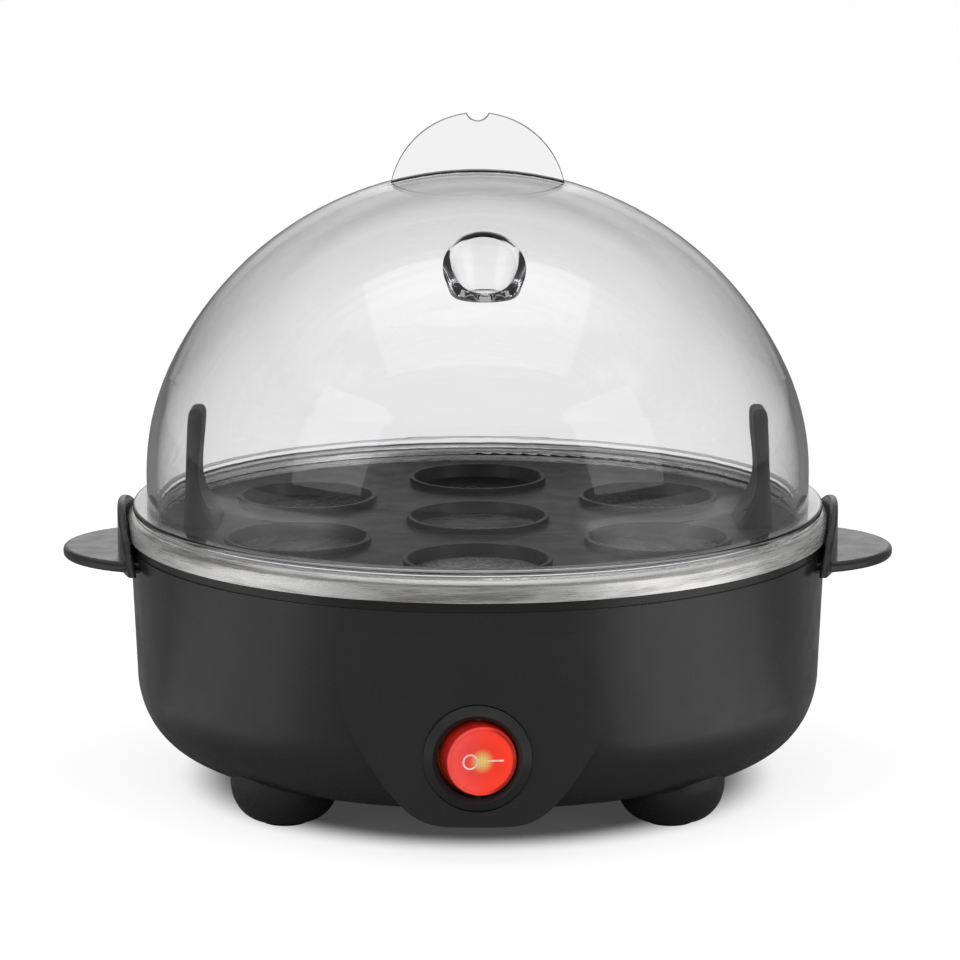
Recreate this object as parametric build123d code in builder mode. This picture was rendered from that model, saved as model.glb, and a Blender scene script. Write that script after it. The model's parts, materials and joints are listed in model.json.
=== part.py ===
from build123d import *
from math import atan2, cos, degrees, pi, radians, sin, sqrt, tan
import os

os.makedirs("parts", exist_ok=True)

# A round countertop steam cooker: a plastic base with a steel water pan, a lift-out tray and a
# clear lift-off lid. Millimetres, +Z up, the front faces -Y, and the origin is on the floor
# under the axis of the round body.

# Gaps between pieces
lift_gap = 0.3
fit_gap = 0.1
pin_gap = 0.05

# Base shell: a tapered round wall that turns in at the bottom
shell_top_radius = 78.9
shell_taper = 1.3
shell_knee_z = 26.0
shell_curve_width = 13.3
shell_curve_height = 17.3
shell_wall = 2.4
shell_floor_z = 9.8
shell_floor_thickness = 3.0
shell_groove_drop = 2.2
shell_groove_size = 0.5
shell_outer_edge = 1.3
shell_inner_edge = 0.7
quarter_turn = 90.0

# Steel pan with its rolled rim, which hooks over the shell
pan_sheet = 0.7
pan_rim_overhang = 0.5
pan_rim_top_z = 62.4
pan_rim_height = 5.1
pan_rim_width = 4.8
pan_rim_bend = 2.0
pan_rim_draft = 0.7
pan_ledge_drop = 5.4
pan_ledge_width = 3.4
pan_wall_lean = 4.5
pan_depth = 11.0
pan_floor_bend = 8.0
pan_ledge_bend = 1.0

# Side grips and the fences that keep fingers off the rim
grip_length = 15.4
grip_root_depth = 8.9
grip_half_depth = 22.7
grip_drop = 8.9
grip_thickness = 2.4
grip_edge_radius = 0.92
fence_gap = 0.5
fence_thickness = 1.8
fence_rise = 1.8
fence_half_length = 26.0
fence_edge_radius = 0.7

# Moulded feet and their rubber pads
foot_inset = 17.6
foot_angle = 45.0
foot_count = 4
foot_radius = 12.0
foot_round = 7.0
foot_height = 9.2
foot_core_radius = 8.0
foot_sole = 3.0
pad_radius = 5.5
pad_thickness = 2.2
pad_proud = 0.6
pad_edge_radius = 0.8

# Switch pod: a shield-shaped boss with a plumb front
pod_set_back = 0.3
pod_wall = 2.5
pod_bottom_z = 8.4
pod_flat_half_width = 6.0
pod_low_half_width = 18.3
pod_low_rise = 6.3
pod_middle_half_width = 27.2
pod_middle_rise = 20.1
pod_half_width = 30.0
pod_height = 42.6
pod_depth = 24.0
pod_room_height = 27.6

# Round rocker switch
switch_z = 23.5
switch_seat_depth = 1.2
bezel_radius = 11.5
bezel_crest_radius = 9.6
bezel_height = 2.2
bezel_edge_height = 0.8
bezel_mouth_drop = 0.9
switch_bore_radius = 8.6
switch_body_radius = 9.95
switch_body_depth = 17.7
switch_back_wall = 2.0
switch_latch_width = 5.0
switch_latch_height = 1.0
switch_latch_length = 5.0
rocker_bore_gap = 0.3
rocker_face_inset = 0.9
rocker_height = 4.7
rocker_skirt = 3.0
rocker_skirt_lean = 0.7
rocker_edge_radius = 0.7
rocker_side_wall = 1.9
rocker_face_wall = 1.7
rocker_dish_depth = 0.35
rocker_tilt = 12.0
rocker_pin_drop = 3.3
rocker_pin_radius = 0.9
rocker_pin_inset = 0.25
lamp_radius = 2.0
lamp_clearance = 2.0
tab_width = 4.8
tab_thickness = 0.8
tab_length = 9.0
tab_pitch = 5.5
contact_thickness = 0.4
contact_width = 4.0
contact_clearance = 6.0
contact_lamp_gap = 1.0
contact_bend = 1.5

# Clear lid: a short upright wall, then two tangent arcs
lid_spigot_gap = 0.8
lid_spigot_step = 1.2
lid_spigot_depth = 2.5
lid_spigot_edge = 0.55
lid_wall_height = 8.1
lid_shoulder_radius = 55.2
lid_height = 76.0
lid_wall = 2.2
lid_flange_inset = 1.2
lid_flange_thickness = 1.4
lid_flange_edge = 0.56
lid_tab_radius = 19.9
lid_tab_rise = 13.3
lid_tab_thickness = 1.8
lid_notch_radius = 2.68
lid_notch_depth = 1.85

# Steam vent: a tapered well in the front of the dome
vent_x = 1.5
vent_inset = 30.0
vent_depth = 6.0
vent_floor_radius = 5.1
vent_slope = 0.35
vent_wall = 1.9
vent_lip_radius = 1.4
vent_foot_edge = 2.4
vent_room_edge = 1.3
vent_hole_radius = 2.3

# Lift-out tray
tray_thickness = 1.5
tray_edge_gap = 0.7
tray_seat_radius = 14.3
tray_seat_circle = 46.0
tray_seat_count = 6
tray_seat_start_angle = 30.0
tray_collar_width = 1.9
tray_collar_height = 1.4
tray_skirt_gap = 3.5
tray_skirt_width = 1.5
tray_skirt_depth = 3.6
tray_skirt_edge = 0.375
upright_lid_gap = 6.4
upright_root_width = 8.2
upright_thickness = 3.3
upright_height = 26.4
upright_half_width = 9.0
upright_top_half_width = 6.5
upright_lean = 1.2
upright_flare = 0.9
upright_flare_rise = 7.1
upright_root_slope = 0.55
upright_corner_radius = 3.25
upright_edge_radius = 1.3

# Heater under the pan
heat_plate_radius = 42.0
heat_plate_thickness = 3.0
plate_hole_depth = 2.0
element_radius = 3.25
element_circle = 30.0
element_seat = 0.8
element_gap_angle = 28.0
element_tail = 7.0
element_pin_radius = 1.25
element_pin_length = 8.0
stud_radius = 2.0
stud_length = 20.3
stud_chamfer = 0.5
bracket_drop = 11.1
bracket_width = 14.0
bracket_thickness = 1.2
bracket_boss_gap = 8.0
bracket_end = 6.0
bracket_screw_length = 12.0
washer_radius = 4.5
washer_thickness = 1.0
nut_across_flats = 7.0
nut_thickness = 3.2

# Thermostat and thermal fuse on the heat plate
thermostat_y = 16.0
thermostat_radius = 8.0
thermostat_height = 8.5
thermostat_cap_radius = 7.0
thermostat_cap_height = 2.0
thermostat_ear_x = 12.0
thermostat_ear_width = 6.5
thermostat_ear_thickness = 0.8
thermostat_tab_x = 4.0
fuse_y = -18.0
fuse_radius = 2.0
fuse_length = 11.0
fuse_wire_radius = 0.5
fuse_wire_length = 6.0
clip_width = 5.0
clip_thickness = 0.6
clip_bend = 0.9
clip_screw_offset = 6.2

# Bottom cover
cover_foot_gap = 5.1
cover_thickness = 1.6
cover_lip = 2.9
cover_screw_inset = 3.5
cover_screw_count = 4
cover_screw_length = 9.0
cover_boss_radius = 4.5
cover_boss_height = 8.6
cover_slot_count = 8
cover_slot_inner = 12.0
cover_slot_length = 16.0
cover_slot_width = 2.4
cover_rib_inset = 6.5
cover_rib_width = 1.4
cover_rib_height = 2.0

# Screws
screw_radius = 1.4
screw_head_radius = 2.8
screw_head_height = 1.9
screw_head_round = 0.4
screw_recess_width = 0.7
screw_recess_depth = 0.9
screw_recess_spread = 1.2
screw_passing_gap = 0.3
small_screw_radius = 1.1
small_screw_head_radius = 2.1
small_screw_head_height = 1.3

# Mains inlet at the back
gland_z = 32.0
gland_seat_depth = 0.6
gland_nose_length = 4.4
gland_boss_radius = 8.5
gland_bore_radius = 3.3
gland_neck_radius = 4.9
gland_flange_radius = 7.0
gland_flange_thickness = 1.8
gland_nose_radius = 5.0
gland_nose_base_radius = 6.0
gland_length = 10.7
gland_collar_radius = 6.2
gland_collar_start = 3.6
gland_tail_radius = 5.2
clamp_set_back = 12.3
clamp_post_x = 9.0
clamp_post_radius = 3.5
clamp_width = 6.0
clamp_thickness = 3.0
clamp_end = 3.6
clamp_screw_length = 8.0
block_set_back = 11.0
block_length = 24.0
block_depth = 10.0
block_height = 12.0
block_corner_radius = 1.0
block_screw_grip = 2.4
block_inner_pole_x = 4.5
block_outer_pole_x = 9.3
block_port_radius = 1.6

# Inner leads
lead_radius = 1.1
lead_entry = 9.0
fuse_turn_gap = 6.0

# Worked out from the sizes above
shell_knee_radius = shell_top_radius - shell_taper
curve_centre_radius = shell_knee_radius - shell_curve_width
floor_top_z = shell_floor_z + shell_floor_thickness
pan_rim_radius = shell_top_radius + pan_rim_overhang
band_bottom_z = pan_rim_top_z - pan_rim_height
shell_groove_z = band_bottom_z - shell_groove_drop
rim_inner_radius = pan_rim_radius - pan_rim_width
ledge_outer_radius = rim_inner_radius - pan_rim_draft
ledge_inner_radius = ledge_outer_radius - pan_ledge_width
pan_floor_radius = ledge_inner_radius - pan_wall_lean
neck_radius = pan_rim_radius - pan_sheet - fit_gap
pan_ledge_z = pan_rim_top_z - pan_ledge_drop
pan_floor_z = pan_ledge_z - pan_depth
grip_reach = shell_top_radius + grip_length
grip_root_x = shell_top_radius - grip_root_depth
grip_top_z = pan_rim_top_z - grip_drop
fence_top_z = pan_rim_top_z + fence_rise
foot_circle_radius = shell_knee_radius - foot_inset
pod_radius = shell_top_radius - pod_set_back
pod_top_z = pod_bottom_z + pod_height
pod_room_top_z = pod_bottom_z + pod_room_height
switch_seat_y = switch_seat_depth - shell_top_radius
rocker_radius = switch_bore_radius - rocker_bore_gap
rocker_face_radius = rocker_radius - rocker_face_inset
rocker_hollow_radius = rocker_radius - rocker_side_wall
pin_half_length = switch_body_radius - rocker_pin_inset
pin_y = switch_seat_y - bezel_height + rocker_pin_drop
pin_depth = rocker_pin_drop - bezel_height
plate_top_z = pan_floor_z - pan_sheet
plate_bottom_z = plate_top_z - heat_plate_thickness
bracket_boss_x = heat_plate_radius + bracket_boss_gap
bracket_top_z = plate_bottom_z - bracket_drop
bracket_bottom_z = bracket_top_z - bracket_thickness
lid_base_z = pan_rim_top_z + lift_gap
lid_spigot_radius = rim_inner_radius - lid_spigot_gap
lid_wall_radius = lid_spigot_radius + lid_spigot_step
lid_flange_radius = pan_rim_radius - lid_flange_inset
lid_wall_top_z = lid_base_z + lid_wall_height
lid_apex_z = lid_base_z + lid_height
lid_tab_top_z = lid_apex_z + lid_tab_rise
vent_y = vent_inset - lid_wall_radius
tray_bottom_z = pan_ledge_z + lift_gap
tray_top_z = tray_bottom_z + tray_thickness
tray_radius = ledge_outer_radius - tray_edge_gap
tray_skirt_radius = ledge_inner_radius - tray_skirt_gap
upright_outer_x = lid_wall_radius - lid_wall - upright_lid_gap
upright_top_z = tray_top_z + upright_height
cover_radius = foot_circle_radius - foot_core_radius - cover_foot_gap
cover_opening_radius = cover_radius - cover_lip
cover_screw_circle = cover_opening_radius - cover_screw_inset
cover_rib_radius = cover_screw_circle - cover_rib_inset
cover_recess_z = shell_floor_z + cover_thickness
gland_seat_y = shell_top_radius - gland_seat_depth
clamp_y = gland_seat_y - clamp_set_back
clamp_post_top_z = gland_z + gland_bore_radius - fit_gap
block_y = clamp_y - block_set_back
block_pole_xs = (-block_outer_pole_x, -block_inner_pole_x, block_inner_pole_x, block_outer_pole_x)
upward = (Align.CENTER, Align.CENTER, Align.MIN)
downward = (Align.CENTER, Align.CENTER, Align.MAX)


def shell_wall_form(inset, bottom_z, top_z):
    """The round body inside the shell's outer face, inset by a wall."""
    with BuildPart() as form:
        with BuildSketch(Plane.XZ):
            with BuildLine():
                curve_centre = (curve_centre_radius, shell_knee_z)
                across = shell_curve_width - inset
                down = shell_curve_height - inset
                EllipticalCenterArc(
                    curve_centre,
                    across,
                    down,
                    start_angle=-quarter_turn,
                    arc_size=quarter_turn,
                )
                Polyline(
                    (shell_knee_radius - inset, shell_knee_z),
                    (shell_top_radius - inset, band_bottom_z),
                    (shell_top_radius - inset, top_z),
                    (0, top_z),
                    (0, shell_knee_z - down),
                    (curve_centre_radius, shell_knee_z - down),
                )
            make_face()
        revolve(axis=Axis.Z)
        split(bisect_by=Plane.XY.offset(bottom_z), keep=Keep.TOP)
    return form.part


# Switch pod, solid
with BuildPart() as pod_form:
    with BuildSketch(Plane.XZ.offset(pod_radius - pod_depth)):
        with BuildLine() as outline:
            right_side = Spline(
                (pod_flat_half_width, pod_bottom_z),
                (pod_low_half_width, pod_bottom_z + pod_low_rise),
                (pod_middle_half_width, pod_bottom_z + pod_middle_rise),
                (pod_half_width, pod_top_z),
                tangents=((1, 0), (0, 1)),
            )
            Line((0, pod_bottom_z), right_side @ 0)
            Line(right_side @ 1, (0, pod_top_z))
            mirror(about=Plane.YZ)
        make_face()
    extrude(amount=pod_depth)
    Cylinder(pod_radius, 4 * pod_top_z, mode=Mode.INTERSECT)

# The room inside the pod for the switch
with BuildPart() as pod_room:
    with BuildSketch(Plane.XZ.offset(pod_radius - pod_depth + pod_wall)):
        with BuildLine():
            Polyline(
                (0, pod_bottom_z + pod_wall),
                (pod_flat_half_width, pod_bottom_z + pod_wall),
                (pod_low_half_width - pod_wall / 2, pod_bottom_z + pod_low_rise + pod_wall),
                (pod_middle_half_width - pod_wall, pod_bottom_z + pod_middle_rise),
                (pod_middle_half_width - pod_wall, pod_room_top_z),
                (0, pod_room_top_z),
            )
            mirror(about=Plane.YZ)
        make_face()
    extrude(amount=pod_depth)
    Cylinder(pod_radius - pod_wall, 4 * pod_top_z, mode=Mode.INTERSECT)


def screws(places, seat_z, length, radius, head_radius, head_height, points_up):
    """Cross-head screws whose heads bear on the plane z = seat_z."""
    shank_side = Align.MIN if points_up else Align.MAX
    head_side = Align.MAX if points_up else Align.MIN
    face_z = seat_z - head_height if points_up else seat_z + head_height
    recess_side = Align.MIN if points_up else Align.MAX
    with BuildPart() as group:
        with Locations(*[(x, y, seat_z) for x, y in places]):
            Cylinder(radius, length, align=(Align.CENTER, Align.CENTER, shank_side))
            Cylinder(head_radius, head_height, align=(Align.CENTER, Align.CENTER, head_side))
        levels = group.edges().filter_by(GeomType.CIRCLE).group_by(Axis.Z)
        fillet(levels[0] if points_up else levels[-1], screw_head_round * head_height)
        with Locations(*[(x, y, face_z) for x, y in places]):
            recess_align = (Align.CENTER, Align.CENTER, recess_side)
            arm = screw_recess_spread * head_radius
            Box(arm, screw_recess_width, screw_recess_depth, align=recess_align, mode=Mode.SUBTRACT)
            Box(screw_recess_width, arm, screw_recess_depth, align=recess_align, mode=Mode.SUBTRACT)
    return group.part


# Feet: round lobes that swell out of the underside
with BuildPart() as foot_form:
    with BuildSketch(Plane.XZ):
        with BuildLine():
            sole_radius = foot_radius - foot_round
            Polyline(
                (sole_radius, pad_proud),
                (0, pad_proud),
                (0, floor_top_z),
                (foot_radius, floor_top_z),
                (foot_radius, foot_height),
            )
            EllipticalCenterArc(
                (sole_radius, foot_height),
                foot_round,
                foot_height - pad_proud,
                start_angle=-quarter_turn,
                arc_size=quarter_turn,
            )
        make_face()
    revolve(axis=Axis.Z)

# Fences: low arcs of wall that rise from the grips beside the steel rim
fence_inner_radius = pan_rim_radius + fence_gap
with BuildPart() as fence_form:
    with BuildSketch(Plane.XY.offset(grip_top_z - grip_thickness)):
        Circle(fence_inner_radius + fence_thickness)
        Circle(fence_inner_radius, mode=Mode.SUBTRACT)
    extrude(amount=fence_top_z - grip_top_z + grip_thickness)
    with BuildSketch(Plane.YZ):
        with BuildLine():
            ThreePointArc(
                (-fence_half_length, grip_top_z - grip_thickness),
                (0, fence_top_z),
                (fence_half_length, grip_top_z - grip_thickness),
            )
            Line(
                (-fence_half_length, grip_top_z - grip_thickness),
                (fence_half_length, grip_top_z - grip_thickness),
            )
        make_face()
    extrude(amount=grip_reach, both=True, mode=Mode.INTERSECT)
    crest_level = fence_top_z - fit_gap
    crest_edges = fence_form.edges().filter_by(lambda edge: edge.bounding_box().max.Z > crest_level)
    fillet(crest_edges, fence_edge_radius)

cover_screw_places = []
for step in range(cover_screw_count):
    angle = radians(foot_angle) + 2 * pi * step / cover_screw_count
    cover_screw_places.append((cover_screw_circle * cos(angle), cover_screw_circle * sin(angle)))
bracket_places = [(-bracket_boss_x, 0), (bracket_boss_x, 0)]
clamp_places = [(-clamp_post_x, clamp_y), (clamp_post_x, clamp_y)]

# Base shell: one black moulding with its grips, fences, feet, switch pod and inner bosses
shell_top_z = pan_rim_top_z - pan_sheet
shell_top_range = (shell_top_z - fit_gap, shell_top_z + fit_gap)
with BuildPart() as base_shell:
    add(shell_wall_form(0, shell_floor_z, shell_top_z))
    with BuildSketch(Plane.XY.offset(band_bottom_z)):
        Circle(shell_top_radius + shell_wall)
        Circle(neck_radius, mode=Mode.SUBTRACT)
    extrude(amount=pan_rim_height, mode=Mode.SUBTRACT)
    outer_edge = base_shell.edges().group_by(Axis.Z)[-1]
    fillet(outer_edge, shell_outer_edge)
    with BuildSketch(Plane.XY.offset(shell_groove_z)):
        Circle(shell_top_radius + shell_groove_size)
        Circle(shell_top_radius - shell_groove_size, mode=Mode.SUBTRACT)
    extrude(amount=shell_groove_size, mode=Mode.SUBTRACT)
    with BuildSketch(Plane.XY.offset(grip_top_z - grip_thickness)):
        with Locations((-grip_root_x, 0), (grip_root_x, 0)):
            Ellipse(grip_reach - grip_root_x, grip_half_depth)
    extrude(amount=grip_thickness)
    grip_edges = base_shell.edges().filter_by(GeomType.ELLIPSE)
    fillet(grip_edges, grip_edge_radius)
    add(fence_form.part)
    with PolarLocations(foot_circle_radius, foot_count, start_angle=foot_angle):
        add(foot_form.part)
    add(pod_form.part)
    with Locations(Plane((0, gland_seat_y, gland_z), x_dir=(1, 0, 0), z_dir=(0, 1, 0))):
        Cylinder(gland_boss_radius, 2 * shell_wall, align=(Align.CENTER, Align.CENTER, Align.MAX))

    add(shell_wall_form(shell_wall, floor_top_z, pan_rim_top_z), mode=Mode.SUBTRACT)
    round_edges = base_shell.edges().filter_by(GeomType.CIRCLE)
    top_edges = round_edges.filter_by_position(Axis.Z, *shell_top_range)
    fillet(top_edges.sort_by(SortBy.RADIUS)[0], shell_inner_edge)
    add(pod_room.part, mode=Mode.SUBTRACT)

    with Locations((0, 0, shell_floor_z)):
        Cylinder(cover_radius + fit_gap, cover_thickness, align=upward, mode=Mode.SUBTRACT)
        Cylinder(cover_opening_radius, shell_floor_thickness, align=upward, mode=Mode.SUBTRACT)
    with Locations(*[(x, y, cover_recess_z) for x, y in cover_screw_places]):
        Cylinder(cover_boss_radius, cover_boss_height, align=upward)
    with Locations(*[(x, y, floor_top_z - fit_gap) for x, y in bracket_places]):
        Cylinder(cover_boss_radius, bracket_bottom_z - floor_top_z + fit_gap, align=upward)
    with Locations(*[(x, y, floor_top_z - fit_gap) for x, y in clamp_places]):
        Cylinder(clamp_post_radius, clamp_post_top_z - floor_top_z + fit_gap, align=upward)

    with PolarLocations(foot_circle_radius, foot_count, start_angle=foot_angle):
        with Locations((0, 0, foot_sole + pad_thickness)):
            Cylinder(foot_core_radius, floor_top_z, align=upward, mode=Mode.SUBTRACT)
        Cylinder(pad_radius + fit_gap, pad_thickness, align=upward, mode=Mode.SUBTRACT)
    with Locations(*[(x, y, cover_recess_z) for x, y in cover_screw_places]):
        Cylinder(screw_radius + pin_gap, cover_boss_height, align=upward, mode=Mode.SUBTRACT)
    with Locations(*[(x, y, bracket_bottom_z) for x, y in bracket_places]):
        Cylinder(screw_radius + pin_gap, bracket_screw_length, align=downward, mode=Mode.SUBTRACT)
    with Locations(*[(x, y, clamp_post_top_z) for x, y in clamp_places]):
        Cylinder(small_screw_radius + pin_gap, clamp_screw_length, align=downward, mode=Mode.SUBTRACT)
    with Locations((0, block_y, floor_top_z)):
        Cylinder(small_screw_radius + pin_gap, block_screw_grip, align=downward, mode=Mode.SUBTRACT)

    with Locations(Plane((0, switch_seat_y, switch_z), x_dir=(1, 0, 0), z_dir=(0, -1, 0))):
        Cylinder(bezel_radius + lift_gap, pod_wall, align=upward, mode=Mode.SUBTRACT)
        Cylinder(switch_body_radius + fit_gap, 2 * pod_wall, align=downward, mode=Mode.SUBTRACT)
    with Locations(Plane((0, gland_seat_y, gland_z), x_dir=(1, 0, 0), z_dir=(0, 1, 0))):
        Cylinder(gland_neck_radius + fit_gap, 4 * shell_wall, mode=Mode.SUBTRACT)
base_shell.part.label = "base_shell"
export_step(base_shell.part, "parts/base_shell.step")

# Rubber pads pressed into the feet
with BuildPart() as foot_pads:
    with PolarLocations(foot_circle_radius, foot_count, start_angle=foot_angle):
        Cylinder(pad_radius, pad_thickness, align=upward)
    fillet(foot_pads.edges().group_by(Axis.Z)[0], pad_edge_radius)
foot_pads.part.label = "foot_pads"
export_step(foot_pads.part, "parts/foot_pads.step")

# Bottom cover: a slotted disc let into the underside
with BuildPart() as bottom_cover:
    with BuildSketch(Plane.XY.offset(shell_floor_z)):
        Circle(cover_radius)
        with Locations(*cover_screw_places):
            Circle(screw_radius + screw_passing_gap, mode=Mode.SUBTRACT)
        with PolarLocations(cover_slot_inner + cover_slot_length / 2, cover_slot_count):
            SlotOverall(cover_slot_length, cover_slot_width, mode=Mode.SUBTRACT)
    extrude(amount=cover_thickness)
    with BuildSketch(Plane.XY.offset(cover_recess_z)):
        Circle(cover_rib_radius + cover_rib_width)
        Circle(cover_rib_radius, mode=Mode.SUBTRACT)
    extrude(amount=cover_rib_height)
bottom_cover.part.label = "bottom_cover"
export_step(bottom_cover.part, "parts/bottom_cover.step")

# Screws that hold the bottom cover
bottom_cover_screws = screws(
    cover_screw_places,
    shell_floor_z,
    cover_screw_length,
    screw_radius,
    screw_head_radius,
    screw_head_height,
    points_up=True,
)
bottom_cover_screws.label = "bottom_cover_screws"
export_step(bottom_cover_screws, "parts/bottom_cover_screws.step")

# Water pan: one steel pressing, from its flat floor to the rolled rim
with BuildPart() as heating_pan:
    with BuildSketch(Plane.XZ):
        with BuildLine():
            FilletPolyline(
                (0, pan_floor_z),
                (pan_floor_radius, pan_floor_z),
                (ledge_inner_radius, pan_ledge_z),
                (ledge_outer_radius, pan_ledge_z),
                (rim_inner_radius, pan_rim_top_z),
                (pan_rim_radius, pan_rim_top_z),
                (pan_rim_radius, band_bottom_z),
                radius=[pan_floor_bend, pan_ledge_bend, pan_ledge_bend, pan_rim_bend, pan_rim_bend],
            )
            offset(amount=pan_sheet, side=Side.RIGHT)
        make_face()
    revolve(axis=Axis.Z)
heating_pan.part.label = "heating_pan"
export_step(heating_pan.part, "parts/heating_pan.step")

# Heat plate: an aluminium disc brazed under the pan, grooved for the element
element_z = plate_bottom_z - element_radius + element_seat
thermostat_screw_places = [(-thermostat_ear_x, thermostat_y), (thermostat_ear_x, thermostat_y)]
clip_screw_place = (0, fuse_y - clip_screw_offset)
with BuildPart() as heat_plate:
    with Locations((0, 0, plate_top_z)):
        Cylinder(heat_plate_radius, heat_plate_thickness, align=downward)
    with Locations((0, 0, element_z)):
        Torus(element_circle, element_radius + fit_gap, mode=Mode.SUBTRACT)
    with Locations(*[(x, y, plate_bottom_z) for x, y in [*thermostat_screw_places, clip_screw_place]]):
        Cylinder(small_screw_radius + pin_gap, plate_hole_depth, align=upward, mode=Mode.SUBTRACT)
heat_plate.part.label = "heat_plate"
export_step(heat_plate.part, "parts/heat_plate.step")

# Heating element: a sheathed ring with two cold tails that turn down to their pins
with BuildPart() as heating_element:
    start_turn = 90 + element_gap_angle / 2
    with Locations(Location((0, 0, element_z), (0, 0, start_turn))):
        Torus(element_circle, element_radius, major_angle=360 - element_gap_angle)
    for turn in (start_turn, start_turn - element_gap_angle):
        end_x = element_circle * cos(radians(turn))
        end_y = element_circle * sin(radians(turn))
        with Locations((end_x, end_y, element_z)):
            Sphere(element_radius)
            Cylinder(element_radius, element_tail, align=downward)
            Cylinder(element_pin_radius, element_tail + element_pin_length, align=downward)
heating_element.part.label = "heating_element"
export_step(heating_element.part, "parts/heating_element.step")

# Bracket: a steel strap on two bosses, which the centre stud pulls up against
with BuildPart() as pan_bracket:
    with BuildSketch(Plane.XY.offset(bracket_bottom_z)):
        SlotOverall(2 * (bracket_boss_x + bracket_end), bracket_width)
        Circle(stud_radius + fit_gap, mode=Mode.SUBTRACT)
        with Locations(*bracket_places):
            Circle(screw_radius + screw_passing_gap, mode=Mode.SUBTRACT)
    extrude(amount=bracket_thickness)
pan_bracket.part.label = "pan_bracket"
export_step(pan_bracket.part, "parts/pan_bracket.step")

bracket_screws = screws(
    bracket_places,
    bracket_top_z,
    bracket_screw_length,
    screw_radius,
    screw_head_radius,
    screw_head_height,
    points_up=False,
)
bracket_screws.label = "bracket_screws"
export_step(bracket_screws, "parts/bracket_screws.step")

with BuildPart() as pan_stud:
    with Locations((0, 0, plate_bottom_z)):
        Cylinder(stud_radius, stud_length, align=downward)
    chamfer(pan_stud.edges().group_by(Axis.Z)[0], stud_chamfer)
pan_stud.part.label = "pan_stud"
export_step(pan_stud.part, "parts/pan_stud.step")

with BuildPart() as stud_washer:
    with BuildSketch(Plane.XY.offset(bracket_bottom_z - washer_thickness)):
        Circle(washer_radius)
        Circle(stud_radius + pin_gap, mode=Mode.SUBTRACT)
    extrude(amount=washer_thickness)
stud_washer.part.label = "stud_washer"
export_step(stud_washer.part, "parts/stud_washer.step")

with BuildPart() as stud_nut:
    with BuildSketch(Plane.XY.offset(bracket_bottom_z - washer_thickness - nut_thickness)):
        RegularPolygon(nut_across_flats / 2, 6, major_radius=False)
        Circle(stud_radius + pin_gap, mode=Mode.SUBTRACT)
    extrude(amount=nut_thickness)
stud_nut.part.label = "stud_nut"
export_step(stud_nut.part, "parts/stud_nut.step")

# Thermostat: a snap-disc switch whose metal cap bears on the heat plate
cap_bottom_z = plate_bottom_z - thermostat_cap_height
with BuildPart() as thermostat:
    with Locations((0, thermostat_y, plate_bottom_z)):
        Cylinder(thermostat_cap_radius, thermostat_cap_height, align=downward)
    with Locations((0, thermostat_y, cap_bottom_z)):
        Cylinder(thermostat_radius, thermostat_height, align=downward)
    for side in (-1, 1):
        with Locations((side * thermostat_tab_x, thermostat_y, cap_bottom_z - thermostat_height)):
            Box(tab_thickness, tab_width, tab_length, align=downward)
thermostat.part.label = "thermostat"
export_step(thermostat.part, "parts/thermostat.step")

with BuildPart() as thermostat_strap:
    with BuildSketch(Plane.XY.offset(cap_bottom_z)):
        with Locations((0, thermostat_y)):
            SlotOverall(2 * thermostat_ear_x + thermostat_ear_width, thermostat_ear_width)
            Circle(thermostat_cap_radius + pin_gap + fit_gap, mode=Mode.SUBTRACT)
        with Locations(*thermostat_screw_places):
            Circle(small_screw_radius + fit_gap, mode=Mode.SUBTRACT)
    extrude(amount=thermostat_ear_thickness)
    with BuildSketch(Plane.XY.offset(cap_bottom_z)):
        with Locations((0, thermostat_y)):
            Circle(thermostat_radius)
            Circle(thermostat_cap_radius + pin_gap, mode=Mode.SUBTRACT)
    extrude(amount=thermostat_ear_thickness)
thermostat_strap.part.label = "thermostat_strap"
export_step(thermostat_strap.part, "parts/thermostat_strap.step")

thermostat_screws = screws(
    thermostat_screw_places,
    cap_bottom_z,
    thermostat_cap_height + plate_hole_depth - lift_gap,
    small_screw_radius,
    small_screw_head_radius,
    small_screw_head_height,
    points_up=True,
)
thermostat_screws.label = "thermostat_screws"
export_step(thermostat_screws, "parts/thermostat_screws.step")

# Thermal fuse: a small barrel held to the plate by a spring clip
fuse_z = plate_bottom_z - fuse_radius
with BuildPart() as thermal_fuse:
    with Locations(Plane((0, fuse_y, fuse_z), x_dir=(0, 1, 0), z_dir=(1, 0, 0))):
        Cylinder(fuse_radius, fuse_length)
        Cylinder(fuse_wire_radius, fuse_length + 2 * fuse_wire_length)
thermal_fuse.part.label = "thermal_fuse"
export_step(thermal_fuse.part, "parts/thermal_fuse.step")

clip_half_width = fuse_radius + fit_gap
clip_bottom_z = fuse_z - clip_half_width
with BuildPart() as fuse_clip:
    with BuildSketch(Plane.YZ.offset(-clip_width / 2)):
        with BuildLine():
            FilletPolyline(
                (fuse_y - clip_screw_offset - small_screw_head_radius, plate_bottom_z),
                (fuse_y - clip_half_width, plate_bottom_z),
                (fuse_y - clip_half_width, clip_bottom_z),
                (fuse_y + clip_half_width, clip_bottom_z),
                (fuse_y + clip_half_width, fuse_z),
                radius=[clip_bend, clip_bend, clip_bend],
            )
            offset(amount=clip_thickness, side=Side.RIGHT)
        make_face()
    extrude(amount=clip_width)
    with Locations((0, clip_screw_place[1], plate_bottom_z)):
        Cylinder(small_screw_radius + fit_gap, clip_thickness, align=downward, mode=Mode.SUBTRACT)
fuse_clip.part.label = "fuse_clip"
export_step(fuse_clip.part, "parts/fuse_clip.step")

clip_screw = screws(
    [clip_screw_place],
    plate_bottom_z - clip_thickness,
    clip_thickness + plate_hole_depth - lift_gap,
    small_screw_radius,
    small_screw_head_radius,
    small_screw_head_height,
    points_up=True,
)
clip_screw.label = "clip_screw"
export_step(clip_screw, "parts/clip_screw.step")

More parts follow.
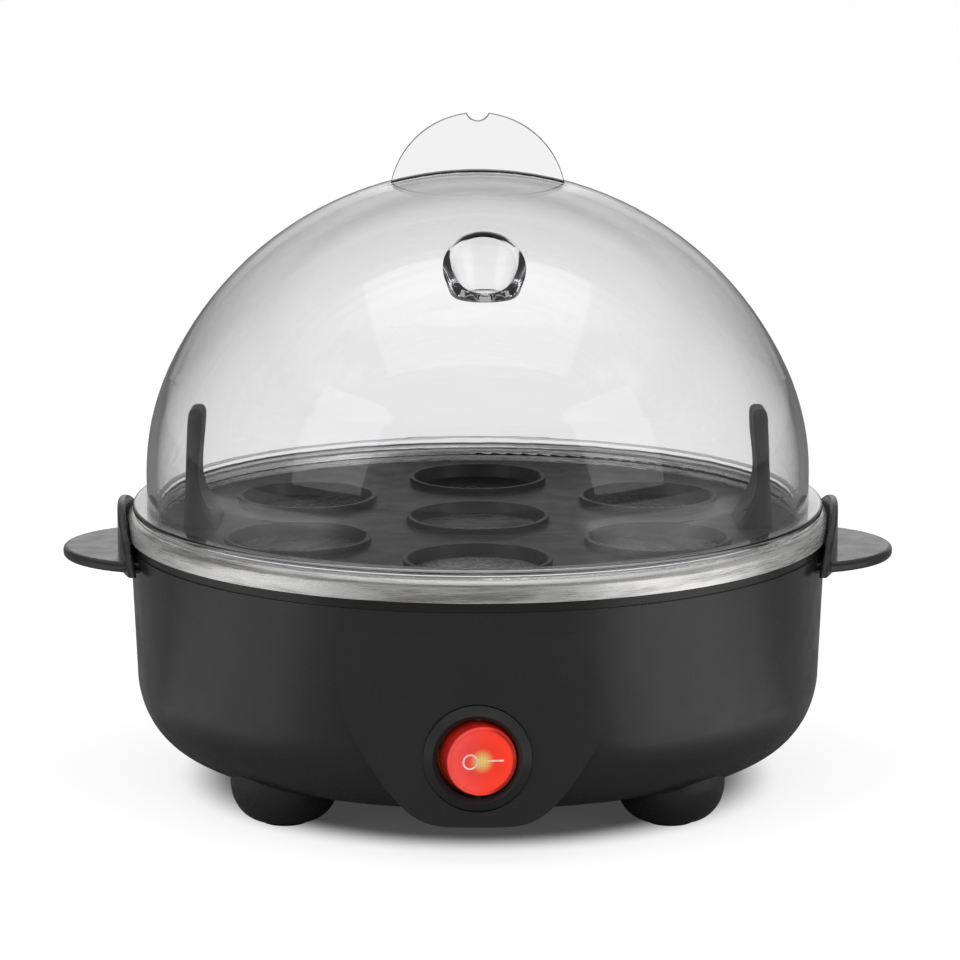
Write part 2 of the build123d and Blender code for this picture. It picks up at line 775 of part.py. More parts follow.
# Switch housing: a round bezel and its barrel, snapped into the pod; heights run outward
switch_axis_plane = Plane((0, switch_seat_y, switch_z), x_dir=(1, 0, 0), z_dir=(0, -1, 0))
switch_section = Plane((0, switch_seat_y, switch_z), x_dir=(1, 0, 0), z_dir=(0, 0, -1))
barrel_bottom = switch_back_wall - switch_body_depth
latch_top = -pod_wall - fit_gap
with BuildPart() as switch_housing:
    with BuildSketch(switch_section):
        with BuildLine():
            Polyline(
                (0, -switch_body_depth),
                (switch_body_radius, -switch_body_depth),
                (switch_body_radius, 0),
                (bezel_radius, 0),
                (bezel_radius, bezel_edge_height),
                (bezel_crest_radius, bezel_height),
                (switch_bore_radius, bezel_height - bezel_mouth_drop),
                (switch_bore_radius, barrel_bottom),
                (0, barrel_bottom),
                close=True,
            )
        make_face()
    revolve(axis=Axis((0, switch_seat_y, switch_z), (0, -1, 0)))
    with BuildSketch(switch_section.offset(-switch_latch_width / 2)):
        with BuildLine():
            Polyline(
                (switch_body_radius - fit_gap, latch_top),
                (switch_body_radius + switch_latch_height, latch_top),
                (switch_body_radius - fit_gap, latch_top - switch_latch_length),
                close=True,
            )
        make_face()
        mirror(about=Plane.YZ)
    extrude(amount=switch_latch_width)
    with Locations((0, pin_y, switch_z)):
        Cylinder(rocker_pin_radius + pin_gap, 2 * pin_half_length, mode=Mode.SUBTRACT)
switch_housing.part.label = "switch_housing"
export_step(switch_housing.part, "parts/switch_housing.step")

with BuildPart() as rocker_pin:
    with Locations((0, pin_y, switch_z)):
        Cylinder(rocker_pin_radius, 2 * pin_half_length)
rocker_pin.part.label = "rocker_pin"
export_step(rocker_pin.part, "parts/rocker_pin.step")

# Rocker: a red cap that tips about the upright pin, drawn pressed in on its right side
tilt = radians(rocker_tilt)
rocker_plane = Plane(
    (0, pin_y, switch_z),
    x_dir=(cos(tilt), sin(tilt), 0),
    z_dir=(sin(tilt), -cos(tilt), 0),
)
cap_taper = degrees(atan2(rocker_radius - rocker_face_radius, rocker_height))
skirt_taper = degrees(atan2(rocker_skirt_lean, rocker_skirt))
dish_radius = (rocker_face_radius**2 + rocker_dish_depth**2) / (2 * rocker_dish_depth)
with BuildPart() as switch_rocker:
    with BuildSketch(rocker_plane):
        Circle(rocker_radius)
    extrude(amount=rocker_height, taper=cap_taper)
    outward = Axis(rocker_plane.origin, rocker_plane.z_dir)
    face_edge = switch_rocker.edges().filter_by(GeomType.CIRCLE).sort_by(outward)[-1]
    fillet(face_edge, rocker_edge_radius)
    with BuildSketch(rocker_plane):
        Circle(rocker_radius)
    extrude(amount=-rocker_skirt, taper=skirt_taper)
    with BuildSketch(rocker_plane.offset(-rocker_skirt)):
        Circle(rocker_hollow_radius)
    extrude(amount=rocker_skirt + rocker_height - rocker_face_wall, mode=Mode.SUBTRACT)
    with Locations(rocker_plane.offset(rocker_height - rocker_dish_depth + dish_radius)):
        Sphere(dish_radius, mode=Mode.SUBTRACT)
    with Locations((0, pin_y, switch_z)):
        Cylinder(rocker_pin_radius + pin_gap, 4 * rocker_radius, mode=Mode.SUBTRACT)
switch_rocker.part.label = "switch_rocker"
export_step(switch_rocker.part, "parts/switch_rocker.step")

# Neon lamp that lights the rocker, standing on the barrel's back wall
with BuildPart() as switch_lamp:
    with Locations(switch_axis_plane.offset(barrel_bottom)):
        Cylinder(lamp_radius, -barrel_bottom - pin_depth - lamp_clearance - lamp_radius, align=upward)
    lamp_top = switch_axis_plane.offset(-pin_depth - lamp_clearance - lamp_radius)
    with Locations(lamp_top):
        Sphere(lamp_radius)
switch_lamp.part.label = "switch_lamp"
export_step(switch_lamp.part, "parts/switch_lamp.step")

# Spring contact and the three blades on the back of the switch
with BuildPart() as switch_contact:
    with BuildSketch(switch_section.offset(-contact_width / 2)):
        with BuildLine():
            FilletPolyline(
                (tab_pitch, barrel_bottom),
                (tab_pitch, -contact_clearance - contact_bend),
                (lamp_radius + contact_lamp_gap, -contact_clearance),
                radius=[contact_bend],
            )
            offset(amount=contact_thickness, side=Side.LEFT)
        make_face()
    extrude(amount=contact_width)
switch_contact.part.label = "switch_contact"
export_step(switch_contact.part, "parts/switch_contact.step")

with BuildPart() as switch_blades:
    for column in (-1, 0, 1):
        with Locations(switch_axis_plane.offset(-switch_body_depth)):
            with Locations((column * tab_pitch, 0, 0)):
                Box(tab_thickness, tab_width, tab_length, align=downward)
switch_blades.part.label = "switch_blades"
export_step(switch_blades.part, "parts/switch_blades.step")

# Mains inlet: a bushing through the back wall; heights run outward
gland_section = Plane((0, gland_seat_y, gland_z), x_dir=(1, 0, 0), z_dir=(0, 0, 1))
with BuildPart() as cord_gland:
    with BuildSketch(gland_section):
        with BuildLine():
            Polyline(
                (gland_bore_radius, gland_nose_length),
                (gland_nose_radius, gland_nose_length),
                (gland_nose_base_radius, gland_flange_thickness),
                (gland_flange_radius, gland_flange_thickness),
                (gland_flange_radius, 0),
                (gland_neck_radius, 0),
                (gland_neck_radius, -gland_collar_start),
                (gland_collar_radius, -gland_collar_start),
                (gland_tail_radius, gland_nose_length - gland_length),
                (gland_bore_radius, gland_nose_length - gland_length),
                close=True,
            )
        make_face()
    revolve(axis=Axis((0, gland_seat_y, gland_z), (0, 1, 0)))
cord_gland.part.label = "cord_gland"
export_step(cord_gland.part, "parts/cord_gland.step")

# Clamp bar over the path of the mains lead, on two posts
with BuildPart() as cord_clamp:
    with BuildSketch(Plane.XY.offset(clamp_post_top_z)):
        with Locations((0, clamp_y)):
            SlotOverall(2 * (clamp_post_x + clamp_end), clamp_width)
        with Locations(*clamp_places):
            Circle(small_screw_radius + screw_passing_gap, mode=Mode.SUBTRACT)
    extrude(amount=clamp_thickness)
    with Locations(Plane((0, clamp_y, gland_z), x_dir=(1, 0, 0), z_dir=(0, 1, 0))):
        Cylinder(gland_bore_radius + 2 * fit_gap, 2 * clamp_width, mode=Mode.SUBTRACT)
cord_clamp.part.label = "cord_clamp"
export_step(cord_clamp.part, "parts/cord_clamp.step")

clamp_screws = screws(
    clamp_places,
    clamp_post_top_z + clamp_thickness,
    clamp_screw_length + clamp_thickness,
    small_screw_radius,
    small_screw_head_radius,
    small_screw_head_height,
    points_up=False,
)
clamp_screws.label = "clamp_screws"
export_step(clamp_screws, "parts/clamp_screws.step")

# Terminal block where the mains lead meets the inner leads
with BuildPart() as terminal_block:
    with Locations((0, block_y, floor_top_z)):
        Box(block_length, block_depth, block_height, align=upward)
    fillet(terminal_block.edges().filter_by(Axis.Z), block_corner_radius)
    for pole_x in block_pole_xs:
        with Locations((pole_x, block_y, floor_top_z + block_height / 2)):
            Cylinder(block_port_radius, 2 * block_depth, rotation=(quarter_turn, 0, 0), mode=Mode.SUBTRACT)
        with Locations((pole_x, block_y, floor_top_z + block_height)):
            Cylinder(block_port_radius, block_height / 2, align=downward, mode=Mode.SUBTRACT)
    with Locations((0, block_y, floor_top_z)):
        Cylinder(small_screw_radius + fit_gap, 3 * block_height, mode=Mode.SUBTRACT)
terminal_block.part.label = "terminal_block"
export_step(terminal_block.part, "parts/terminal_block.step")

block_screw = screws(
    [(0, block_y)],
    floor_top_z + block_height,
    block_height + block_screw_grip,
    small_screw_radius,
    small_screw_head_radius,
    small_screw_head_height,
    points_up=False,
)
block_screw.label = "block_screw"
export_step(block_screw, "parts/block_screw.step")

# Tray: a black disc with raised cups round seven holes, a stiffening skirt and two uprights
with BuildPart() as tray_disc:
    with BuildSketch(Plane.XY.offset(tray_bottom_z)):
        Circle(tray_radius)
    extrude(amount=tray_thickness)
    with BuildSketch(Plane.XY.offset(tray_bottom_z)):
        Circle(tray_skirt_radius)
        Circle(tray_skirt_radius - tray_skirt_width, mode=Mode.SUBTRACT)
    extrude(amount=-tray_skirt_depth)
    with BuildSketch(Plane.XY.offset(tray_top_z)):
        Circle(tray_seat_radius + tray_collar_width)
        with PolarLocations(tray_seat_circle, tray_seat_count, start_angle=tray_seat_start_angle):
            Circle(tray_seat_radius + tray_collar_width)
    extrude(amount=tray_collar_height)
    cup_height = tray_thickness + tray_collar_height
    cup_top_radius = tray_seat_radius + tray_collar_width / 2
    with Locations((0, 0, tray_bottom_z)):
        Cone(tray_seat_radius, cup_top_radius, cup_height, align=upward, mode=Mode.SUBTRACT)
        with PolarLocations(tray_seat_circle, tray_seat_count, start_angle=tray_seat_start_angle):
            Cone(tray_seat_radius, cup_top_radius, cup_height, align=upward, mode=Mode.SUBTRACT)
    skirt_edges = tray_disc.edges().filter_by(GeomType.CIRCLE).group_by(Axis.Z)[0]
    fillet(skirt_edges, tray_skirt_edge)

upright_inner_x = upright_outer_x - upright_thickness
with BuildPart() as upright_form:
    with BuildSketch(Plane.XZ.offset(-upright_half_width)):
        with BuildLine():
            root = (upright_outer_x - upright_root_width, tray_top_z - fit_gap)
            inner_top = (upright_inner_x - upright_lean, upright_top_z)
            outer_top = (upright_outer_x - upright_lean, upright_top_z)
            flare = (upright_inner_x - upright_flare, tray_top_z + upright_flare_rise)
            inner_flank = Spline(root, flare, inner_top, tangents=((upright_root_slope, 1), (0, 1)))
            Polyline(inner_flank @ 1, outer_top, (upright_outer_x, tray_top_z - fit_gap), root)
        make_face()
    extrude(amount=2 * upright_half_width)
    with BuildSketch(Plane.YZ):
        with BuildLine():
            Polyline(
                (-upright_half_width, tray_top_z - fit_gap),
                (-upright_top_half_width, upright_top_z),
                (upright_top_half_width, upright_top_z),
                (upright_half_width, tray_top_z - fit_gap),
                close=True,
            )
        upright_face = make_face()
        fillet(upright_face.vertices().group_by(Axis.Y)[-1], upright_corner_radius)
    extrude(amount=2 * upright_outer_x, mode=Mode.INTERSECT)
    crown_level = upright_top_z - upright_thickness / 2
    crown_edges = upright_form.edges().filter_by(lambda edge: edge.center().Z > crown_level)
    fillet(crown_edges, upright_edge_radius)
with BuildPart() as boiling_tray:
    add(tray_disc.part)
    add(upright_form.part)
    mirror(upright_form.part, about=Plane.YZ)
boiling_tray.part.label = "boiling_tray"
export_step(boiling_tray.part, "parts/boiling_tray.step")

# Lid: the dome's two arcs meet in line, so the crown's radius follows from the shoulder's
shoulder_x = lid_wall_radius - lid_shoulder_radius
apex_rise = lid_wall_top_z - lid_apex_z
shoulder_excess = lid_shoulder_radius**2 - shoulder_x**2 - apex_rise**2
crown_radius = shoulder_excess / (2 * (apex_rise + lid_shoulder_radius))
crown_z = lid_apex_z - crown_radius
arc_join = degrees(atan2(lid_wall_top_z - crown_z, shoulder_x))
dome_over_vent_z = crown_z + sqrt(crown_radius**2 - vent_x**2 - vent_y**2)
vent_floor_z = dome_over_vent_z - vent_depth
vent_rise = lid_apex_z - vent_floor_z


def dome_form(inset, bottom_z):
    """The solid under the dome's outer face, inset by a wall, down to a level."""
    with BuildPart() as form:
        with BuildSketch(Plane.XZ):
            with BuildLine():
                CenterArc((shoulder_x, lid_wall_top_z), lid_shoulder_radius - inset, 0, arc_join)
                CenterArc((0, crown_z), crown_radius - inset, arc_join, quarter_turn - arc_join)
                Polyline(
                    (0, lid_apex_z - inset),
                    (0, bottom_z),
                    (lid_wall_radius - inset, bottom_z),
                    (lid_wall_radius - inset, lid_wall_top_z),
                )
            make_face()
        revolve(axis=Axis.Z)
    return form.part


# Vent cup: the tapered wall of the well, trimmed to the dome's outer face
with BuildPart() as vent_cup:
    with Locations((vent_x, vent_y, vent_floor_z - vent_wall)):
        Cone(
            vent_floor_radius + vent_wall,
            vent_floor_radius + vent_wall + vent_slope * vent_rise,
            vent_rise,
            align=upward,
        )
    fillet(vent_cup.edges().filter_by(GeomType.CIRCLE).group_by(Axis.Z)[0], vent_foot_edge)
    add(dome_form(0, lid_base_z), mode=Mode.INTERSECT)

# Vent room: the hollow of the well, rounded where its wall meets its floor
with BuildPart() as vent_room:
    with Locations((vent_x, vent_y, vent_floor_z)):
        Cone(
            vent_floor_radius,
            vent_floor_radius + vent_slope * vent_rise,
            vent_rise,
            align=upward,
        )
    fillet(vent_room.edges().filter_by(GeomType.CIRCLE).group_by(Axis.Z)[0], vent_room_edge)

lid_spigot_bottom_z = lid_base_z - lid_spigot_depth
with BuildPart() as lid:
    add(dome_form(0, lid_base_z))
    with BuildSketch(Plane.XZ.offset(-lid_tab_thickness / 2)):
        with Locations((0, lid_tab_top_z - lid_tab_radius)):
            Circle(lid_tab_radius)
        with Locations((0, lid_tab_top_z - lid_notch_depth + lid_notch_radius)):
            Circle(lid_notch_radius, mode=Mode.SUBTRACT)
    extrude(amount=lid_tab_thickness)
    with BuildSketch(Plane.XY.offset(lid_base_z)):
        Circle(lid_flange_radius)
    extrude(amount=lid_flange_thickness)
    flange_range = (lid_base_z - fit_gap, lid_base_z + lid_flange_thickness + fit_gap)
    low_edges = lid.edges().filter_by(GeomType.CIRCLE).filter_by_position(Axis.Z, *flange_range)
    fillet(low_edges.group_by(SortBy.RADIUS)[-1], lid_flange_edge)
    with BuildSketch(Plane.XY.offset(lid_base_z)):
        Circle(lid_spigot_radius)
    extrude(amount=-lid_spigot_depth)
    spigot_edge = lid.edges().filter_by(GeomType.CIRCLE).group_by(Axis.Z)[0]
    fillet(spigot_edge, lid_spigot_edge)
    add(dome_form(lid_wall, lid_spigot_bottom_z), mode=Mode.SUBTRACT)
    add(vent_cup.part)
    add(vent_room.part, mode=Mode.SUBTRACT)
    fillet(lid.edges(Select.LAST).filter_by(GeomType.BSPLINE), vent_lip_radius)
    with Locations((vent_x, vent_y, vent_floor_z)):
        Cylinder(vent_hole_radius, 4 * vent_wall, mode=Mode.SUBTRACT)
lid.part.label = "lid"
export_step(lid.part, "parts/lid.step")

# Inner leads: insulated wires of tangent runs and arcs, each from one terminal to the next
blade_end_y = switch_seat_y + switch_body_depth + tab_length
blade_run_y = blade_end_y + lead_entry
pole_z = floor_top_z + block_height / 2
pole_y = block_y - block_depth / 4
pole_run_y = block_y - block_depth / 2 - lead_entry
thermostat_tab_z = cap_bottom_z - thermostat_height - tab_length
pin_end_z = element_z - element_tail - element_pin_length
pin_x = element_circle * sin(radians(element_gap_angle / 2))
pin_y_back = element_circle * cos(radians(element_gap_angle / 2))
fuse_end_x = fuse_length / 2 + fuse_wire_length
fuse_turn_x = fuse_end_x + fuse_turn_gap
lead_routes = {
    "lead_live": [
        (block_pole_xs[1], pole_y, pole_z),
        (block_pole_xs[1], pole_run_y, pole_z),
        (-18, 27, 17),
        (-23, 5, 16),
        (-18, -20, 17),
        (-tab_pitch, blade_run_y, switch_z),
        (-tab_pitch, blade_end_y, switch_z),
    ],
    "lead_lamp": [
        (block_pole_xs[3], pole_y, pole_z),
        (block_pole_xs[3], pole_run_y, pole_z),
        (20, 27, 17),
        (24, 5, 16),
        (19, -20, 17),
        (tab_pitch, blade_run_y, switch_z),
        (tab_pitch, blade_end_y, switch_z),
    ],
    "lead_switched": [
        (0, blade_end_y, switch_z),
        (0, blade_run_y, switch_z),
        (-7, -25, 19),
        (-9, -6, 17),
        (-7, 8, 15),
        (-thermostat_tab_x, thermostat_y, 14.8),
        (-thermostat_tab_x, thermostat_y, thermostat_tab_z),
    ],
    "lead_link": [
        (thermostat_tab_x, thermostat_y, thermostat_tab_z),
        (thermostat_tab_x, thermostat_y, 15.5),
        (9, 4, 17),
        (15, -9, 22),
        (fuse_turn_x, fuse_y, 31),
        (fuse_turn_x, fuse_y, fuse_z),
        (fuse_end_x, fuse_y, fuse_z),
    ],
    "lead_fused": [
        (-fuse_end_x, fuse_y, fuse_z),
        (-fuse_turn_x, fuse_y, fuse_z),
        (-fuse_turn_x, fuse_y, 31),
        (-17, -6, 23),
        (-16, 8, 20),
        (-13, 20, 18),
        (-pin_x, pin_y_back, 17),
        (-pin_x, pin_y_back, pin_end_z),
    ],
    "lead_neutral": [
        (pin_x, pin_y_back, pin_end_z),
        (pin_x, pin_y_back, 18),
        (block_pole_xs[2], pole_run_y, pole_z),
        (block_pole_xs[2], pole_y, pole_z),
    ],
}


def bend_radii(points):
    """The arc at each corner, as large as its two runs allow."""
    radii = []
    for before, corner, after in zip(points, points[1:], points[2:]):
        run_in = Vector(*corner) - Vector(*before)
        run_out = Vector(*after) - Vector(*corner)
        half_turn = radians(run_in.get_angle(run_out)) / 2
        radii.append(0.45 * min(run_in.length, run_out.length) / tan(half_turn))
    return radii


for lead_name, lead_points in lead_routes.items():
    lead_bends = bend_radii(lead_points)
    with BuildPart() as lead:
        with BuildLine() as route:
            FilletPolyline(*lead_points, radius=lead_bends)
        start = Vector(*lead_points[0])
        with BuildSketch(Plane(start, z_dir=Vector(*lead_points[1]) - start)):
            Circle(lead_radius)
        sweep()
    lead.part.label = lead_name
    export_step(lead.part, f"parts/{lead_name}.step")
    lead_length = sum(edge.length for edge in route.edges())
    tube_volume = lead_length * pi * lead_radius**2
    print(lead_name, round(lead_length, 1), "mm, volume over section times length",
          round(lead.part.volume / tube_volume, 3), "bends", [round(radius, 1) for radius in lead_bends])
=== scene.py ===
import json
import math
import bmesh
import bpy
from mathutils import Matrix, Vector


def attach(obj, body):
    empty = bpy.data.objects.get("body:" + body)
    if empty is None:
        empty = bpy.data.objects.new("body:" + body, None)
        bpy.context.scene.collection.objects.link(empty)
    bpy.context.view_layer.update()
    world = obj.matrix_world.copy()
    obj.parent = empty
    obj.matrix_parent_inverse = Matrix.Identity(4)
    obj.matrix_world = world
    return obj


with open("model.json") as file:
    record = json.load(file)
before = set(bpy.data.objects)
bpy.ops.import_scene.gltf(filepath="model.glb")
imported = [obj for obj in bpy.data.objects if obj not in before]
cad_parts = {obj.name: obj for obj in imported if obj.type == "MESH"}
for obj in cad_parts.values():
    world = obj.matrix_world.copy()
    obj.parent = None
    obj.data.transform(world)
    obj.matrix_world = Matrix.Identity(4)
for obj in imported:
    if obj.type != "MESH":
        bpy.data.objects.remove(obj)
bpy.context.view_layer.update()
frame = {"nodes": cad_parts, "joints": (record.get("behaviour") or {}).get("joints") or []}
nodes = frame["nodes"]


# Base shell. One deep bowl moulded in charcoal ABS, with the two grips, the two curved fences
# beside the rim and the blister that carries the switch. The tool leaves a fine satin skin, and the
# narrow lip above the groove, just under the steel rim, is darkened as painted shade.
class Wiring:
    """A node tree, with short ways to add nodes to it and to join them."""

    def __init__(self, tree):
        self.tree = tree

    def add(self, kind, **settings):
        node = self.tree.nodes.new(kind)
        for setting, value in settings.items():
            setattr(node, setting, value)
        return node

    def join(self, source, target):
        self.tree.links.new(source, target)

    def feed(self, value, socket):
        """Gives a socket its value, which is another socket, a number or a vector."""
        if isinstance(value, bpy.types.NodeSocket):
            self.join(value, socket)
        else:
            socket.default_value = value

    def work_out(self, operation, *terms):
        """A Math node over sockets and numbers."""
        node = self.add("ShaderNodeMath", operation=operation)
        for term, socket in zip(terms, node.inputs):
            self.feed(term, socket)
        return node.outputs[0]

    def product(self, first, *others):
        for other in others:
            first = self.work_out("MULTIPLY", first, other)
        return first

    def vector_work(self, operation, *terms):
        """A Vector Math node over sockets and vectors. A length or a distance is a number."""
        node = self.add("ShaderNodeVectorMath", operation=operation)
        for term, socket in zip(terms, node.inputs):
            self.feed(term, socket)
        return node.outputs["Value" if operation in ("LENGTH", "DISTANCE") else "Vector"]

    def axes(self, place):
        """The X, Y and Z of a vector."""
        parts = self.add("ShaderNodeSeparateXYZ")
        self.join(place, parts.inputs[0])
        return parts.outputs


class Finish(Wiring):
    """One finish: a material with its shader, and short ways to set patterns before the shader."""

    def __init__(self, name, colour, roughness, **sockets):
        self.material = bpy.data.materials.new(name)
        self.material.use_nodes = True
        super().__init__(self.material.node_tree)
        self.shader = self.tree.nodes["Principled BSDF"]
        self.place = self.add("ShaderNodeTexCoord").outputs["Object"]
        self.relief_so_far = None
        self.shader.inputs["Base Color"].default_value = (*colour, 1.0)
        self.shader.inputs["Roughness"].default_value = roughness
        for socket, value in sockets.items():
            self.shader.inputs[socket.replace("_", " ")].default_value = value

    def lumps(self, size, detail=2.0, stretch=(1.0, 1.0, 1.0)):
        """Noise whose lumps are about size metres across, and stretch times that along each axis."""
        mapping = self.add("ShaderNodeMapping")
        mapping.inputs["Scale"].default_value = [1 / (size * s) for s in stretch]
        noise = self.add("ShaderNodeTexNoise")
        noise.inputs["Scale"].default_value = 1.0
        noise.inputs["Detail"].default_value = detail
        self.join(self.place, mapping.inputs["Vector"])
        self.join(mapping.outputs["Vector"], noise.inputs["Vector"])
        return noise.outputs["Fac"]

    def between(self, factor, low, high, start=0.3, end=0.7):
        """The factor from start to end drawn out to the values low to high."""
        ramp = self.add("ShaderNodeMapRange", interpolation_type="SMOOTHSTEP")
        for socket, value in zip(("From Min", "From Max", "To Min", "To Max"), (start, end, low, high)):
            ramp.inputs[socket].default_value = value
        self.join(factor, ramp.inputs["Value"])
        return ramp.outputs["Result"]

    def blend(self, factor, first, second):
        """A colour that runs from first, where the factor is 0, to second, where it is 1."""
        mix = self.add("ShaderNodeMix", data_type="RGBA")
        self.join(factor, mix.inputs["Factor"])
        for socket, colour in ((mix.inputs[6], first), (mix.inputs[7], second)):
            self.feed(colour if isinstance(colour, bpy.types.NodeSocket) else (*colour, 1.0), socket)
        return mix.outputs[2]

    def tint(self, factor, first, second):
        """Colours the piece by such a blend."""
        self.colour = self.blend(factor, first, second)
        self.join(self.colour, self.shader.inputs["Base Color"])

    def polish(self, factor, low, high):
        self.join(self.between(factor, low, high), self.shader.inputs["Roughness"])

    def glow(self, colour, strength):
        """Light that the piece gives off: its colour and its strength, from sockets."""
        self.join(colour, self.shader.inputs["Emission Color"])
        self.join(strength, self.shader.inputs["Emission Strength"])

    def relief(self, height, depth):
        """Raises the skin by up to depth metres where the height is 1."""
        bump = self.add("ShaderNodeBump")
        bump.inputs["Distance"].default_value = depth
        bump.inputs["Strength"].default_value = 1.0
        self.join(height, bump.inputs["Height"])
        if self.relief_so_far:
            self.join(self.relief_so_far, bump.inputs["Normal"])
        self.relief_so_far = bump.outputs["Normal"]
        self.join(self.relief_so_far, self.shader.inputs["Normal"])

    def on(self, *names):
        """Gives the finish to CAD nodes by name."""
        for name in names:
            for place in nodes[name].material_slots:
                place.material = self.material


def moulded(name, dark, light, roughness, skin_size, skin_depth, shine=0.4):
    """Moulded plastic: an eroded skin, faint flow clouds in the colour, and uneven gloss."""
    cloud_size, gloss_patch_size, gloss_spread = 0.018, 0.006, 0.05
    sink_size, sink_depth = 0.02, 0.00002
    finish = Finish(name, light, roughness, IOR=1.5, Specular_IOR_Level=shine)
    clouds = finish.lumps(cloud_size, 3.0, (1.0, 1.0, 1.6))
    finish.tint(finish.between(clouds, 0.0, 1.0), dark, light)
    finish.polish(finish.lumps(gloss_patch_size, 4.0), roughness - gloss_spread, roughness + gloss_spread)
    finish.relief(finish.lumps(skin_size, 3.0), skin_depth)
    finish.relief(finish.lumps(sink_size, 1.0), sink_depth)
    return finish


charcoal = moulded("charcoal_abs", (0.0235, 0.0235, 0.0238), (0.0275, 0.0275, 0.0278),
                   roughness=0.24, skin_size=0.00035, skin_depth=0.000003, shine=0.6)
# Painted shade: the band of the shell between the groove and the steel rim is darkened, as under the rim's
# overhang.
lip_low, lip_high, lip_blur = 0.0553, 0.0578, 0.0004
lip_shade_colour = (0.011, 0.011, 0.0112)
shell_height = charcoal.axes(charcoal.place)["Z"]
above_groove = charcoal.between(shell_height, 0.0, 1.0, lip_low, lip_low + lip_blur)
below_rim = charcoal.between(shell_height, 1.0, 0.0, lip_high, lip_high + lip_blur)
charcoal.tint(charcoal.product(above_groove, below_rim), charcoal.colour, lip_shade_colour)
charcoal.on("base_shell")


# Bottom cover. A flat disc in the same black ABS that closes the base, held by four zinc plated
# pan head screws. Its skin is a little rougher than that of the shell.
underside = moulded("underside_abs", (0.016, 0.016, 0.016), (0.022, 0.022, 0.022),
                    roughness=0.5, skin_size=0.0005, skin_depth=0.00001)
underside.on("bottom_cover")


def plated(name, dark, light, roughness, cloud_size):
    """Plated or bare metal with uneven shine and fine handling marks."""
    shine_spread, mark_size, mark_depth = 0.08, 0.0003, 0.000004
    finish = Finish(name, light, roughness, Metallic=1.0)
    finish.tint(finish.between(finish.lumps(cloud_size, 4.0), 0.0, 1.0), dark, light)
    finish.polish(finish.lumps(cloud_size * 0.4, 3.0), roughness - shine_spread, roughness + shine_spread)
    finish.relief(finish.lumps(mark_size, 2.0, (1.0, 6.0, 1.0)), mark_depth)
    return finish


zinc = plated("zinc_plate", (0.42, 0.42, 0.40), (0.62, 0.62, 0.60), roughness=0.3, cloud_size=0.002)
zinc.on("bottom_cover_screws", "bracket_screws", "stud_nut", "stud_washer", "clamp_screws")
zinc.on("pan_stud", "thermostat_screws", "clip_screw", "block_screw", "pan_bracket", "fuse_clip")


# Foot pads. Four soft rubber discs pressed into the moulded feet, matt and slightly dusty. They
# keep the hot body off the worktop and stop it from sliding.
rubber = moulded("foot_rubber", (0.018, 0.018, 0.018), (0.028, 0.028, 0.027),
                 roughness=0.75, skin_size=0.0006, skin_depth=0.00002)
rubber.on("foot_pads")


# Heating pan. Spun stainless sheet whose rim is rolled over, so its brush marks run round the axis.
# The band that shows under the lid has darker, uneven patches where the brushing was heavier.
def turned(finish, around, across, detail):
    """Noise drawn out round the object's axis: around lumps to the circle, across metres wide."""
    flat = finish.vector_work("MULTIPLY", finish.place, (1.0, 1.0, 0.0))
    bearing = finish.axes(finish.vector_work("NORMALIZE", flat))
    radius = finish.vector_work("LENGTH", flat)
    height = finish.axes(finish.place)["Z"]
    lumps_per_radian = around / (2 * math.pi)
    along = finish.add("ShaderNodeCombineXYZ")
    finish.join(finish.work_out("MULTIPLY", bearing["X"], lumps_per_radian), along.inputs["X"])
    finish.join(finish.work_out("MULTIPLY", bearing["Y"], lumps_per_radian), along.inputs["Y"])
    finish.join(finish.work_out("MULTIPLY", height, 1 / across), along.inputs["Z"])
    noise = finish.add("ShaderNodeTexNoise", noise_dimensions="4D")
    noise.inputs["Scale"].default_value = 1.0
    noise.inputs["Detail"].default_value = detail
    finish.join(along.outputs["Vector"], noise.inputs["Vector"])
    finish.join(finish.work_out("MULTIPLY", radius, 1 / across), noise.inputs["W"])
    return noise.outputs["Fac"]


hair_share, patch_share = 0.35, 0.65
hair_depth = 0.000012
brushed_dark, brushed_light = (0.46, 0.45, 0.44), (1.0, 0.995, 0.98)
steel = Finish("brushed_stainless", (0.8, 0.79, 0.77), 0.28, Metallic=0.85, Anisotropic=0.6)
steel_hairs = turned(steel, around=90.0, across=0.00016, detail=4.0)
steel_patches = turned(steel, around=14.0, across=0.004, detail=3.0)
steel_patches = steel.work_out("MULTIPLY", steel_patches, patch_share)
steel_shade = steel.work_out("MULTIPLY_ADD", steel_hairs, hair_share, steel_patches)
steel.tint(steel.between(steel_shade, 0.0, 1.0, 0.38, 0.54), brushed_dark, brushed_light)
steel.polish(steel_hairs, 0.2, 0.36)
steel.relief(steel_hairs, hair_depth)
steel_round = steel.add("ShaderNodeTangent", direction_type="RADIAL", axis="Z")
steel.join(steel_round.outputs["Tangent"], steel.shader.inputs["Tangent"])
steel.on("heating_pan")


# Heater. A cast aluminium plate with a ring of sheathed element under the pan, and the bimetal
# cut-out, the fuse and its sleeve that watch it. All of it is closed in by the base.
aluminium = plated("cast_aluminium", (0.5, 0.5, 0.5), (0.72, 0.72, 0.72), roughness=0.42, cloud_size=0.004)
aluminium.on("heat_plate")
sheath = plated("element_sheath", (0.16, 0.13, 0.11), (0.30, 0.27, 0.25), roughness=0.4, cloud_size=0.006)
sheath.on("heating_element")
strap_steel = plated("strap_steel", (0.45, 0.45, 0.44), (0.6, 0.6, 0.58), roughness=0.3, cloud_size=0.003)
strap_steel.on("thermostat_strap")
ceramic = moulded("steatite", (0.72, 0.70, 0.64), (0.80, 0.78, 0.73),
                  roughness=0.3, skin_size=0.0006, skin_depth=0.000008)
ceramic.on("thermostat", "thermal_fuse")


